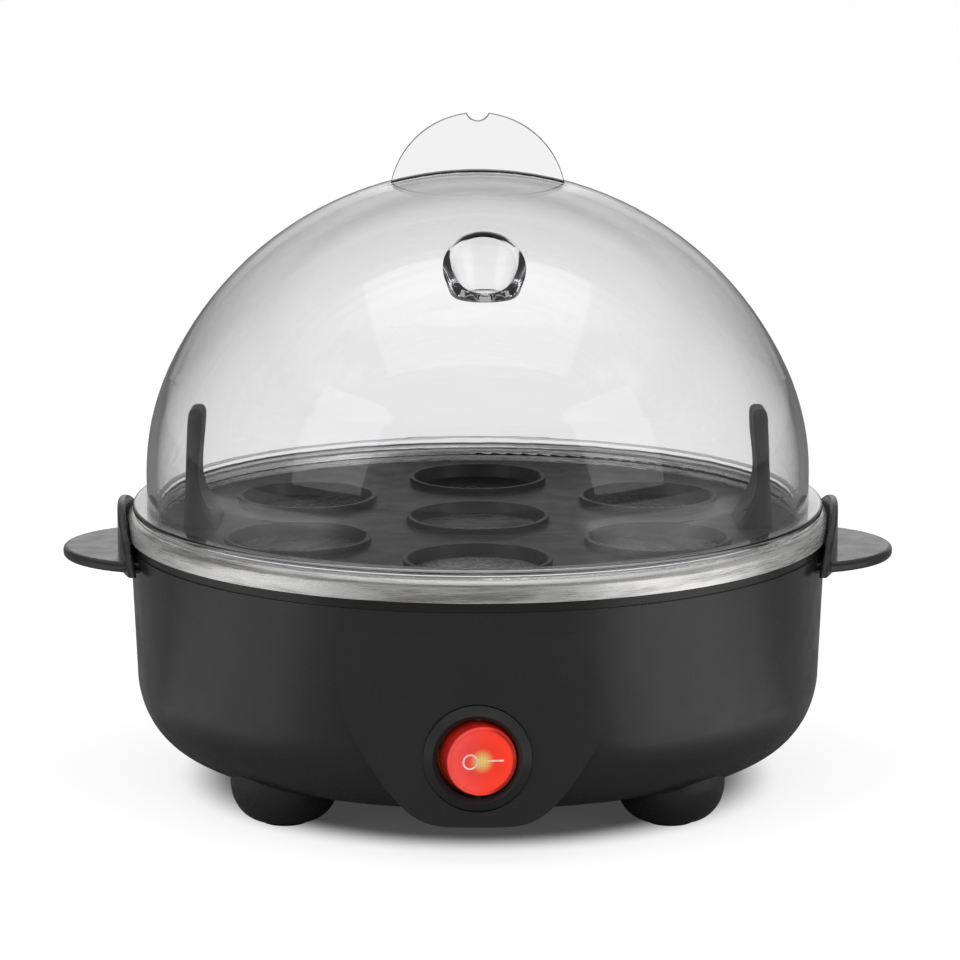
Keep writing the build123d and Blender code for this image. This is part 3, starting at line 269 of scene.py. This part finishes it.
# Terminal block, cord clamp and gland. Nylon mouldings at the back where a mains lead comes in:
# the gland lines the hole, two screws pull the clamp down, and the block joins the cores.
nylon = moulded("natural_nylon", (0.62, 0.60, 0.54), (0.72, 0.70, 0.64),
                roughness=0.42, skin_size=0.0005, skin_depth=0.000008)
nylon.on("terminal_block")
black_nylon = moulded("black_nylon", (0.012, 0.012, 0.012), (0.018, 0.018, 0.018),
                      roughness=0.4, skin_size=0.0004, skin_depth=0.000008)
black_nylon.on("cord_clamp", "cord_gland")


# Leads. Six covered wires inside the base, cut to length and bent by hand. Brown is live, blue goes
# back to neutral, and the white sleeves stand the heat beside the fuse.
brown = (0.13, 0.05, 0.025), (0.17, 0.07, 0.035)
blue = (0.03, 0.09, 0.30), (0.04, 0.12, 0.38)
white = (0.62, 0.60, 0.56), (0.72, 0.70, 0.66)
for lead, (dark, light) in (
    ("lead_live", brown),
    ("lead_lamp", blue),
    ("lead_switched", brown),
    ("lead_link", white),
    ("lead_fused", white),
    ("lead_neutral", blue),
):
    silicone = moulded(lead + "_silicone", dark, light, roughness=0.5, skin_size=0.0004, skin_depth=0.000008)
    silicone.on(lead)


# Switch housing. A round bezel in fine-textured black nylon, clipped into the blister, round the
# brass pin, contact and blades of the switch.
bezel = moulded("switch_nylon", (0.027, 0.028, 0.028), (0.036, 0.037, 0.037),
                roughness=0.38, skin_size=0.0003, skin_depth=0.000006)
bezel.on("switch_housing")
brass = plated("switch_brass", (0.55, 0.40, 0.18), (0.78, 0.60, 0.32), roughness=0.25, cloud_size=0.002)
brass.on("switch_blades", "switch_contact", "rocker_pin")


# Switch lamp. A small neon behind the rocker, which glows orange when the cooker is on. A lead of
# its own takes it back to neutral.
lamp = Finish("neon_glass", (1.0, 0.45, 0.12), 0.1)
lamp.shader.inputs["Emission Color"].default_value = (1.0, 0.42, 0.08, 1.0)
lamp.join(lamp.between(lamp.lumps(0.001, 2.0), 2.0, 4.0), lamp.shader.inputs["Emission Strength"])
lamp.on("switch_lamp")


# Switch rocker. Translucent red polycarbonate whose backlighting is a painted glow, brightest over the lamp.
# It turns on an upright pin and stands tipped to its right, where the bevel of its dished face has painted
# shade.
rocker_joint = next(joint for joint in frame["joints"] if joint["child"] == "rocker")
rocker_pivot = Vector(rocker_joint["pos_m"])
rocker_tilt = math.radians(rocker_joint["range_deg"][1] / 2)
rocker_face_rise = 0.0047
rocker_dish_depth = 0.00035
rocker_face_radius = 0.0074
rocker_dish_radius = rocker_face_radius**2 / (2 * rocker_dish_depth)
rocker_turn = Matrix.Translation(rocker_pivot) @ Matrix.Rotation(rocker_tilt, 4, "Z")


def on_rocker_face(across, up, proud):
    """The place of a point on the rocker's dished face, proud metres in front of it."""
    dish = rocker_dish_depth - (across**2 + up**2) / (2 * rocker_dish_radius)
    return rocker_turn @ Vector((across, dish - rocker_face_rise - proud, up))


lens = Finish("lit_red_lens", (0.50, 0.012, 0.008), 0.14, IOR=1.55, Coat_Weight=0.3)
lens_place = lens.add("ShaderNodeMapping", vector_type="TEXTURE")
lens_place.inputs["Location"].default_value = rocker_pivot
lens_place.inputs["Rotation"].default_value = (0.0, 0.0, rocker_tilt)
lens.join(lens.place, lens_place.inputs["Vector"])
across, depth, up = lens.axes(lens_place.outputs["Vector"])
across_squared = lens.work_out("POWER", across, 2.0)
up_squared = lens.work_out("POWER", up, 2.0)
from_centre = lens.work_out("SQRT", lens.work_out("ADD", across_squared, up_squared))

# Painted light: the lens glows by emission in place of the lamp's light coming through it, pinker to the left,
# redder to the right and yellow over the lamp.
lens_red_left, lens_red_right = (0.84, 0.085, 0.075), (0.86, 0.040, 0.014)
lens_yellow = (1.0, 0.95, 0.30)
lens_red = lens.blend(lens.between(across, 0.0, 1.0, -0.0055, 0.003), lens_red_left, lens_red_right)
lamp_glow_spot = lens.between(from_centre, 1.0, 0.0, 0.0003, 0.0030)
lens_colour = lens.blend(lamp_glow_spot, lens_red, lens_yellow)

# Painted shade in that glow: a dark line on the moulded ring, a dim side wall, a slightly dimmer left side and
# a dark bevel on the low right side.
moulded_line_radius = 0.0068
full_glow, bevel_glow = 0.9, 0.12
lens_face = lens.between(from_centre, 1.0, 0.10, 0.0072, 0.0081)
lens_side_shade = lens.between(across, 0.85, 1.0, -0.006, 0.004)
off_line = lens.work_out("ABSOLUTE", lens.work_out("SUBTRACT", from_centre, moulded_line_radius))
lens_line_shade = lens.between(off_line, 0.72, 1.0, 0.00005, 0.00018)
lens_wall_shade = lens.between(depth, 1.0, 0.14, -0.0047, -0.0038)
shaded_side = lens.between(across, 0.0, 1.0, 0.0, 0.0045)
on_bevel = lens.between(from_centre, 0.0, 1.0, 0.0063, 0.0070)
inside_edge = lens.between(from_centre, 1.0, 0.0, 0.00725, 0.0074)
lens_bevel_shade = lens.between(lens.product(shaded_side, on_bevel, inside_edge), 1.0, bevel_glow, 0.0, 1.0)
lens.glow(lens_colour, lens.product(lens_face, lens_side_shade, lens_line_shade, lens_wall_shade, full_glow, lens_bevel_shade))
lens.tint(lens.between(lens.lumps(0.004, 2.0), 0.0, 1.0), (0.42, 0.010, 0.006), (0.55, 0.016, 0.010))
lens.polish(lens.lumps(0.002, 3.0), 0.10, 0.20)
lens.on("switch_rocker")


# Rocker marks. A ring and a bar of white ink, printed in one thin layer that stands just proud.
# They show off and on, and tip with the rocker.
ink_thickness = 0.00004
ink_line = 0.00038
circle_centre = -0.00255
circle_radius = 0.0015
circle_steps = 48
dash_centre = 0.0030
dash_length = 0.0034
dash_steps = 8


def ink_band(name, middle_line, closed):
    """A printed line along points of the rocker's face, ink_line wide, with its thickness."""
    count = len(middle_line)
    corners = []
    for step, (x, z) in enumerate(middle_line):
        before = middle_line[step - 1] if closed or step else middle_line[0]
        after = middle_line[(step + 1) % count] if closed or step < count - 1 else middle_line[-1]
        along = Vector((after[0] - before[0], after[1] - before[1])).normalized()
        aside = Vector((-along.y, along.x)) * (ink_line / 2)
        for side, layer in ((1, -1), (1, 1), (-1, 1), (-1, -1)):
            corners.append(on_rocker_face(x + side * aside.x, z + side * aside.y, layer * ink_thickness))
    faces = []
    for step in range(count if closed else count - 1):
        here, there = 4 * step, 4 * ((step + 1) % count)
        for corner in range(4):
            following = (corner + 1) % 4
            faces.append((here + corner, there + corner, there + following, here + following))
    if not closed:
        faces += [(0, 1, 2, 3), (4 * count - 1, 4 * count - 2, 4 * count - 3, 4 * count - 4)]
    mesh = bpy.data.meshes.new(name)
    mesh.from_pydata(corners, [], faces)
    clean = bmesh.new()
    clean.from_mesh(mesh)
    bmesh.ops.recalc_face_normals(clean, faces=clean.faces)
    clean.to_mesh(mesh)
    clean.free()
    mark = bpy.data.objects.new(name, mesh)
    bpy.context.scene.collection.objects.link(mark)
    mesh.materials.append(ink.material)
    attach(mark, "rocker")


ink = Finish("white_print", (0.85, 0.62, 0.60), 0.4)
ink.tint(ink.between(ink.lumps(0.0006, 3.0), 0.0, 1.0), (0.78, 0.52, 0.50), (0.90, 0.72, 0.70))
# Painted light: the ink glows pink by emission, in place of the lamp's light coming through the lens under it.
ink.shader.inputs["Emission Color"].default_value = (1.0, 0.62, 0.58, 1.0)
ink.join(ink.between(ink.lumps(0.0010, 2.0), 0.25, 0.45), ink.shader.inputs["Emission Strength"])
ring_line = []
for step in range(circle_steps):
    turn = 2 * math.pi * step / circle_steps
    ring_line.append((circle_centre + circle_radius * math.cos(turn), circle_radius * math.sin(turn)))
bar_line = [(dash_centre + dash_length * (step / dash_steps - 0.5), 0.0) for step in range(dash_steps + 1)]
ink_band("rocker_circle_mark", ring_line, True)
ink_band("rocker_dash_mark", bar_line, False)


# Lens grid. A square grid of small studs moulded inside the lens shows as dots against the lamp's
# glow. Their colour and glow are painted: brown and dim over the lamp, as shade against its painted
# glow, fading into a brighter red round it. Each dot is a low dome on the grid.
dot_brown, dot_red = (0.26, 0.08, 0.01), (0.66, 0.028, 0.010)
dot_glow = Finish("lamp_dots", (0.9, 0.45, 0.10), 0.3)
from_lamp = dot_glow.vector_work("DISTANCE", dot_glow.place, on_rocker_face(0.0, 0.0, 0.0))
# Painted light and shade: the dots turn brown and dim near the lamp, and glow red further out.
dot_near_lamp = dot_glow.between(from_lamp, 1.0, 0.0, 0.0003, 0.0034)
dot_glow.tint(dot_near_lamp, dot_red, dot_brown)
dot_glow.glow(dot_glow.colour, dot_glow.between(dot_near_lamp, 0.88, 0.45, 0.0, 1.0))

dot_sizes = {"Pitch": 0.00034, "Dot radius": 0.0001, "Field radius": 0.0034, "Rows": 23}
dot_flatness = 0.5
dot_inset = 0.00002
dots = Wiring(bpy.data.node_groups.new("lamp_dot_grid", "GeometryNodeTree"))
dots.tree.interface.new_socket(name="Geometry", in_out="OUTPUT", socket_type="NodeSocketGeometry")
dot_inputs = {}
for label, size in dot_sizes.items():
    kind = "NodeSocketInt" if label == "Rows" else "NodeSocketFloat"
    socket = dots.tree.interface.new_socket(name=label, in_out="INPUT", socket_type=kind)
    socket.default_value = size
    dot_inputs[label] = socket.identifier

dots_in = dots.add("NodeGroupInput").outputs
field_side = dots.work_out("MULTIPLY_ADD", dots_in["Rows"], dots_in["Pitch"],
                           dots.work_out("MULTIPLY", dots_in["Pitch"], -1.0))
dot_grid = dots.add("GeometryNodeMeshGrid")
for side in ("Size X", "Size Y"):
    dots.join(field_side, dot_grid.inputs[side])
for count in ("Vertices X", "Vertices Y"):
    dots.join(dots_in["Rows"], dot_grid.inputs[count])
dot_distance = dots.vector_work("LENGTH", dots.add("GeometryNodeInputPosition").outputs[0])
dot_inside = dots.add("FunctionNodeCompare", data_type="FLOAT", operation="LESS_THAN")
dots.join(dot_distance, dot_inside.inputs[0])
dots.join(dots_in["Field radius"], dot_inside.inputs[1])
dot_shape = dots.add("GeometryNodeMeshUVSphere")
dot_shape.inputs["Segments"].default_value = 8
dot_shape.inputs["Rings"].default_value = 4
dots.join(dots_in["Dot radius"], dot_shape.inputs["Radius"])
dot_flat = dots.add("GeometryNodeTransform")
dot_flat.inputs["Scale"].default_value = (1.0, 1.0, dot_flatness)
dots.join(dot_shape.outputs["Mesh"], dot_flat.inputs["Geometry"])
dot_copies = dots.add("GeometryNodeInstanceOnPoints")
dots.join(dot_grid.outputs["Mesh"], dot_copies.inputs["Points"])
dots.join(dot_inside.outputs[0], dot_copies.inputs["Selection"])
dots.join(dot_flat.outputs["Geometry"], dot_copies.inputs["Instance"])
dot_real = dots.add("GeometryNodeRealizeInstances")
dots.join(dot_copies.outputs["Instances"], dot_real.inputs["Geometry"])
dot_finish = dots.add("GeometryNodeSetMaterial")
dot_finish.inputs["Material"].default_value = dot_glow.material
dots.join(dot_real.outputs["Geometry"], dot_finish.inputs["Geometry"])
dots.join(dot_finish.outputs["Geometry"], dots.add("NodeGroupOutput").inputs["Geometry"])

dot_source = bpy.data.objects.new("dot_source", bpy.data.meshes.new("dot_source"))
bpy.context.scene.collection.objects.link(dot_source)
dot_modifier = dot_source.modifiers.new("lamp_dot_grid", "NODES")
dot_modifier.node_group = dots.tree
for label, size in dot_sizes.items():
    dot_modifier[dot_inputs[label]] = size
evaluated = bpy.context.evaluated_depsgraph_get()
dot_mesh = bpy.data.meshes.new_from_object(dot_source.evaluated_get(evaluated))
bpy.data.objects.remove(dot_source)
for point in dot_mesh.vertices:
    point.co = on_rocker_face(point.co.x, point.co.y, point.co.z - dot_inset)
dot_mesh.update()
dot_mesh.name = "rocker_lamp_dots"
lamp_dots = bpy.data.objects.new("rocker_lamp_dots", dot_mesh)
bpy.context.scene.collection.objects.link(lamp_dots)
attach(lamp_dots, "rocker")


# Boiling tray. Black moulded plastic with seven collared seats and the two upright handles. It
# lies on the ledge of the pan and lifts straight out.
tray_black = moulded("tray_black", (0.011, 0.011, 0.0115), (0.015, 0.015, 0.0155),
                     roughness=0.38, skin_size=0.0004, skin_depth=0.000002, shine=0.25)
tray_black.on("boiling_tray")


# Lid. Clear polycarbonate moulded in one piece: the dome, the flange that sits on the rim, the flat
# tab that it is lifted by and the small steam cup in front of it. Its long edges look smoky.
clear_colour = (0.965, 0.965, 0.967)
clear = Finish("clear_polycarbonate", clear_colour, 0.012, IOR=1.56, Transmission_Weight=1.0)
clear_smoke = clear.add("ShaderNodeVolumeAbsorption")
clear_smoke.inputs["Color"].default_value = (0.50, 0.48, 0.56, 1.0)
clear_smoke.inputs["Density"].default_value = 20.0
clear_output = clear.tree.nodes["Material Output"]
clear.join(clear_smoke.outputs["Volume"], clear_output.inputs["Volume"])
clear_shadow = clear.add("ShaderNodeBsdfTransparent")
clear_shadow.inputs["Color"].default_value = (0.86, 0.86, 0.87, 1.0)
clear_mix = clear.add("ShaderNodeMixShader")
clear.join(clear.add("ShaderNodeLightPath").outputs["Is Shadow Ray"], clear_mix.inputs["Fac"])
clear.join(clear.shader.outputs["BSDF"], clear_mix.inputs[1])
clear.join(clear_shadow.outputs["BSDF"], clear_mix.inputs[2])
clear.join(clear_mix.outputs["Shader"], clear_output.inputs["Surface"])
clear.polish(clear.lumps(0.02, 2.0), 0.008, 0.02)
clear.relief(clear.lumps(0.012, 2.0), 0.000012)

# The tab's edge, its notch and its foot each end in a small bend, marked by a painted dark line for the light
# lost there.
tab_radius, tab_centre_z = 0.0199, 0.1321
notch_radius, notch_centre_z = 0.00268, 0.15283
crown_radius = 0.0770
crown_centre_z = 0.1387 - crown_radius
tab_half_thickness = 0.0009
tab_foot_z = 0.1360
bend = 0.0002
bend_shade_colour = (0.03, 0.03, 0.032)
tab_axes = clear.axes(clear.place)
tab_flat = clear.vector_work("MULTIPLY", clear.place, (1.0, 0.0, 1.0))


def from_arc(centre_z, radius):
    """How far outside an arc in the tab's plane a point lies, below 0 inside it."""
    return clear.work_out("SUBTRACT", clear.vector_work("DISTANCE", tab_flat, (0.0, 0.0, centre_z)), radius)


tab_side = clear.work_out("ABSOLUTE", tab_axes["Y"])
within_tab = clear.between(tab_side, 1.0, 0.0, tab_half_thickness, tab_half_thickness + bend)
above_foot = clear.between(tab_axes["Z"], 0.0, 1.0, tab_foot_z - bend, tab_foot_z)
edge_line = clear.between(from_arc(tab_centre_z, tab_radius), 0.0, 1.0, -bend, -bend / 2)
notch_line = clear.between(from_arc(notch_centre_z, notch_radius), 1.0, 0.0, bend / 2, bend)
foot_line = clear.between(from_arc(crown_centre_z, crown_radius), 1.0, 0.0, bend, 1.5 * bend)
tab_lines = clear.work_out("MAXIMUM", clear.work_out("MAXIMUM", edge_line, notch_line), foot_line)
clear.tint(clear.product(within_tab, above_foot, tab_lines), clear_colour, bend_shade_colour)
clear.on("lid")


# The studio. A pale floor and a white surround, with a broad soft lamp above and one at each side.
# The floor shows white where it is seen straight, except in a disc under the body: there its white glow
# is left out and the plain grey paper shows, a painted shadow that deepens the contact shadow. Shiny skins see
# soft boxes in a dim room.
def along_stops(wiring, value, stops):
    """A brightness that runs softly from stop to stop as the value does: (value, brightness) pairs."""
    low, high = stops[0][0], stops[-1][0]
    ramp = wiring.add("ShaderNodeValToRGB")
    ramp.color_ramp.interpolation = "EASE"
    while len(ramp.color_ramp.elements) < len(stops):
        ramp.color_ramp.elements.new(0.5)
    for element, (place, brightness) in zip(ramp.color_ramp.elements, stops):
        element.position = (place - low) / (high - low)
        element.color = (brightness, brightness, brightness, 1.0)
    span = wiring.add("ShaderNodeMapRange")
    span.inputs["From Min"].default_value = low
    span.inputs["From Max"].default_value = high
    wiring.join(value, span.inputs["Value"])
    wiring.join(span.outputs["Result"], ramp.inputs["Fac"])
    return ramp.outputs["Color"]


# Brightness by bearing, in degrees from the front and positive to the right. The first row is for
# the walls round the cooker, the second for their soft boxes mirrored in the floor.
room_boxes = ((-180, 0.4), (-158, 0.35), (-140, 0.05), (-112, 0.22), (-90, 0.3), (-50, 0.16), (-15, 0.06),
              (0, 0.05), (15, 0.06), (50, 0.22), (80, 0.38), (112, 0.28), (140, 0.05), (158, 0.35), (180, 0.4))
floor_boxes = ((-180, 0.0), (-106, 0.0), (-90, 0.26), (-78, 0.40), (-54, 0.40), (-43, 0.10), (-34, 0.02),
               (0, 0.02), (31, 0.03), (40, 0.5), (49, 0.72), (68, 0.72), (82, 0.42), (100, 0.0), (180, 0.0))


def boxes_at(wiring, axes, boxes):
    """The soft boxes round the cooker, by the bearing of a place or a direction."""
    nearness = wiring.work_out("MULTIPLY", axes["Y"], -1.0)
    bearing = wiring.work_out("DEGREES", wiring.work_out("ARCTAN2", axes["X"], nearness))
    return along_stops(wiring, bearing, boxes)


def ray_kinds(wiring):
    """1 for each kind of ray: straight or through the lid, reflected, and in the lid's own skin."""
    path = wiring.add("ShaderNodeLightPath").outputs
    reflected = wiring.work_out("GREATER_THAN", path["Glossy Depth"], 0.5)
    scattered = wiring.work_out("GREATER_THAN", path["Diffuse Depth"], 0.5)
    unturned = wiring.work_out("SUBTRACT", 1.0, wiring.work_out("MAXIMUM", reflected, scattered))
    through = wiring.product(path["Is Transmission Ray"], unturned)
    straight = wiring.work_out("MAXIMUM", path["Is Camera Ray"], through)
    mirrored = wiring.product(reflected, wiring.work_out("SUBTRACT", 1.0, scattered))
    in_skin = wiring.product(mirrored, wiring.work_out("LESS_THAN", path["Transmission Depth"], 2.5))
    return straight, mirrored, in_skin


floor_half_width = 4.0
floor_mesh = bpy.data.meshes.new("studio_floor")
floor_corners = []
for side_x, side_y in ((-1, -1), (1, -1), (1, 1), (-1, 1)):
    floor_corners.append((side_x * floor_half_width, side_y * floor_half_width, 0.0))
floor_mesh.from_pydata(floor_corners, [], [(0, 1, 2, 3)])
floor = bpy.data.objects.new("studio_floor", floor_mesh)
bpy.context.scene.collection.objects.link(floor)
# Painted shadow: within this disc under the body the floor's white glow is left out.
shadow_disc_radius, white_from = 0.054, 0.070
shadow_disc_glow, white_glow = 0.05, 0.83
box_glow = 2.5
floor_reach_stops = ((0.0, 0.0), (0.09, 0.0), (0.14, 0.4), (0.36, 0.42), (0.46, 1.0), (0.66, 1.0),
                     (0.80, 0.3), (2.0, 0.3))
paper = Finish("floor_paper", (0.3, 0.3, 0.3), 0.9, Specular_IOR_Level=0.1)
paper_axes = paper.axes(paper.place)
paper_reach = paper.work_out("SQRT", paper.work_out("ADD", paper.work_out("POWER", paper_axes["X"], 2.0),
                                                    paper.work_out("POWER", paper_axes["Y"], 2.0)))
paper_straight, paper_mirrored, _ = ray_kinds(paper)
paper_glow_and_shadow = paper.between(paper_reach, shadow_disc_glow, white_glow, shadow_disc_radius, white_from)
paper_boxed = paper.product(along_stops(paper, paper_reach, floor_reach_stops),
                            boxes_at(paper, paper_axes, floor_boxes), box_glow)
paper_shine = paper.product(paper_mirrored, paper.work_out("MINIMUM", paper_boxed, 1.0))
paper_light = paper.work_out("ADD", paper.product(paper_straight, paper_glow_and_shadow), paper_shine)
paper.shader.inputs["Emission Color"].default_value = (1.0, 1.0, 1.0, 1.0)
paper.join(paper_light, paper.shader.inputs["Emission Strength"])
floor_mesh.materials.append(paper.material)

# The surround. Its levels, ceiling, horizon and rear panel run by the height or the side of the
# direction, from -1 to 1. The rear panel is seen only in the lid's own skin.
surround = bpy.data.worlds.new("studio_surround")
surround.use_nodes = True
air = Wiring(surround.node_tree)
air_light = air.tree.nodes["Background"]
air_light.inputs["Color"].default_value = (1.0, 1.0, 1.0, 1.0)
ambient_strength = 0.45
air_axes = air.axes(air.add("ShaderNodeTexCoord").outputs["Generated"])
air_height = air_axes["Z"]
air_straight, air_mirrored, air_in_skin = ray_kinds(air)
air_boxes = boxes_at(air, air_axes, room_boxes)
air_levels = along_stops(air, air_height, ((-1.0, 1.0), (0.35, 1.0), (0.65, 0.4), (0.85, 0.3), (1.0, 0.5)))
air_ceiling = along_stops(air, air_height, ((-1.0, 0.0), (0.45, 0.0), (0.75, 0.5), (1.0, 0.6)))
air_horizon = along_stops(air, air_height, ((-1.0, 0.28), (0.0, 0.28), (0.3, 0.04), (1.0, 0.0)))
air_walls = air.work_out("MAXIMUM", air.product(air_boxes, air_levels),
                         air.work_out("MAXIMUM", air_ceiling, air_horizon))
air_panel = along_stops(air, air.work_out("ABSOLUTE", air_axes["X"]),
                        ((0.0, 1.0), (0.08, 1.0), (0.18, 0.68), (0.4, 0.45), (0.7, 0.0), (1.0, 0.0)))
air_behind = air.work_out("GREATER_THAN", air_axes["Y"], 0.0)
air_band = along_stops(air, air_height,
                       ((-1.0, 0.0), (-0.05, 0.0), (0.12, 1.0), (0.42, 1.0), (0.6, 0.0), (1.0, 0.0)))
air_rear = air.product(air_panel, air_behind, air_band, air_in_skin)
air_shine = air.product(air_mirrored, air.work_out("MAXIMUM", air_walls, air_rear))
air_still = air.product(air.work_out("SUBTRACT", 1.0, air_mirrored), ambient_strength)
air_seen = air.work_out("MAXIMUM", air_still, air_straight)
air.join(air.work_out("ADD", air_seen, air_shine), air_light.inputs["Strength"])
bpy.context.scene.world = surround


def soft_lamp(name, place, aim, width, height, radiance):
    """A soft box: an area lamp at place that faces aim, whose face is as bright as radiance."""
    data = bpy.data.lights.new(name, "AREA")
    data.shape = "RECTANGLE"
    data.size = width
    data.size_y = height
    data.energy = radiance * math.pi * width * height
    box = bpy.data.objects.new(name, data)
    box.location = place
    box.rotation_euler = (Vector(aim) - Vector(place)).to_track_quat("-Z", "Y").to_euler()
    box.visible_glossy = False
    bpy.context.scene.collection.objects.link(box)


middle = (0.0, 0.0, 0.07)
soft_lamp("lamp_above", (0.0, -0.2, 1.5), middle, width=1.6, height=1.2, radiance=1.1)
soft_lamp("lamp_left", (-1.2, -0.9, 0.7), middle, width=0.8, height=1.1, radiance=1.3)
soft_lamp("lamp_right", (1.2, -0.9, 0.7), middle, width=0.8, height=1.1, radiance=1.2)

image_width = 960
axis_left_of_middle = 2.3
camera_data = bpy.data.cameras.new("camera")
camera_data.sensor_width = 36.0
camera_data.lens = 168.3
camera_data.shift_x = axis_left_of_middle / image_width
camera = bpy.data.objects.new("camera", camera_data)
camera.location = (0.0, -1.0, 0.2653)
camera.rotation_euler = (math.radians(78.85), 0.0, 0.0)
bpy.context.scene.collection.objects.link(camera)
bpy.context.scene.camera = camera
bpy.context.scene.view_settings.view_transform = "Standard"
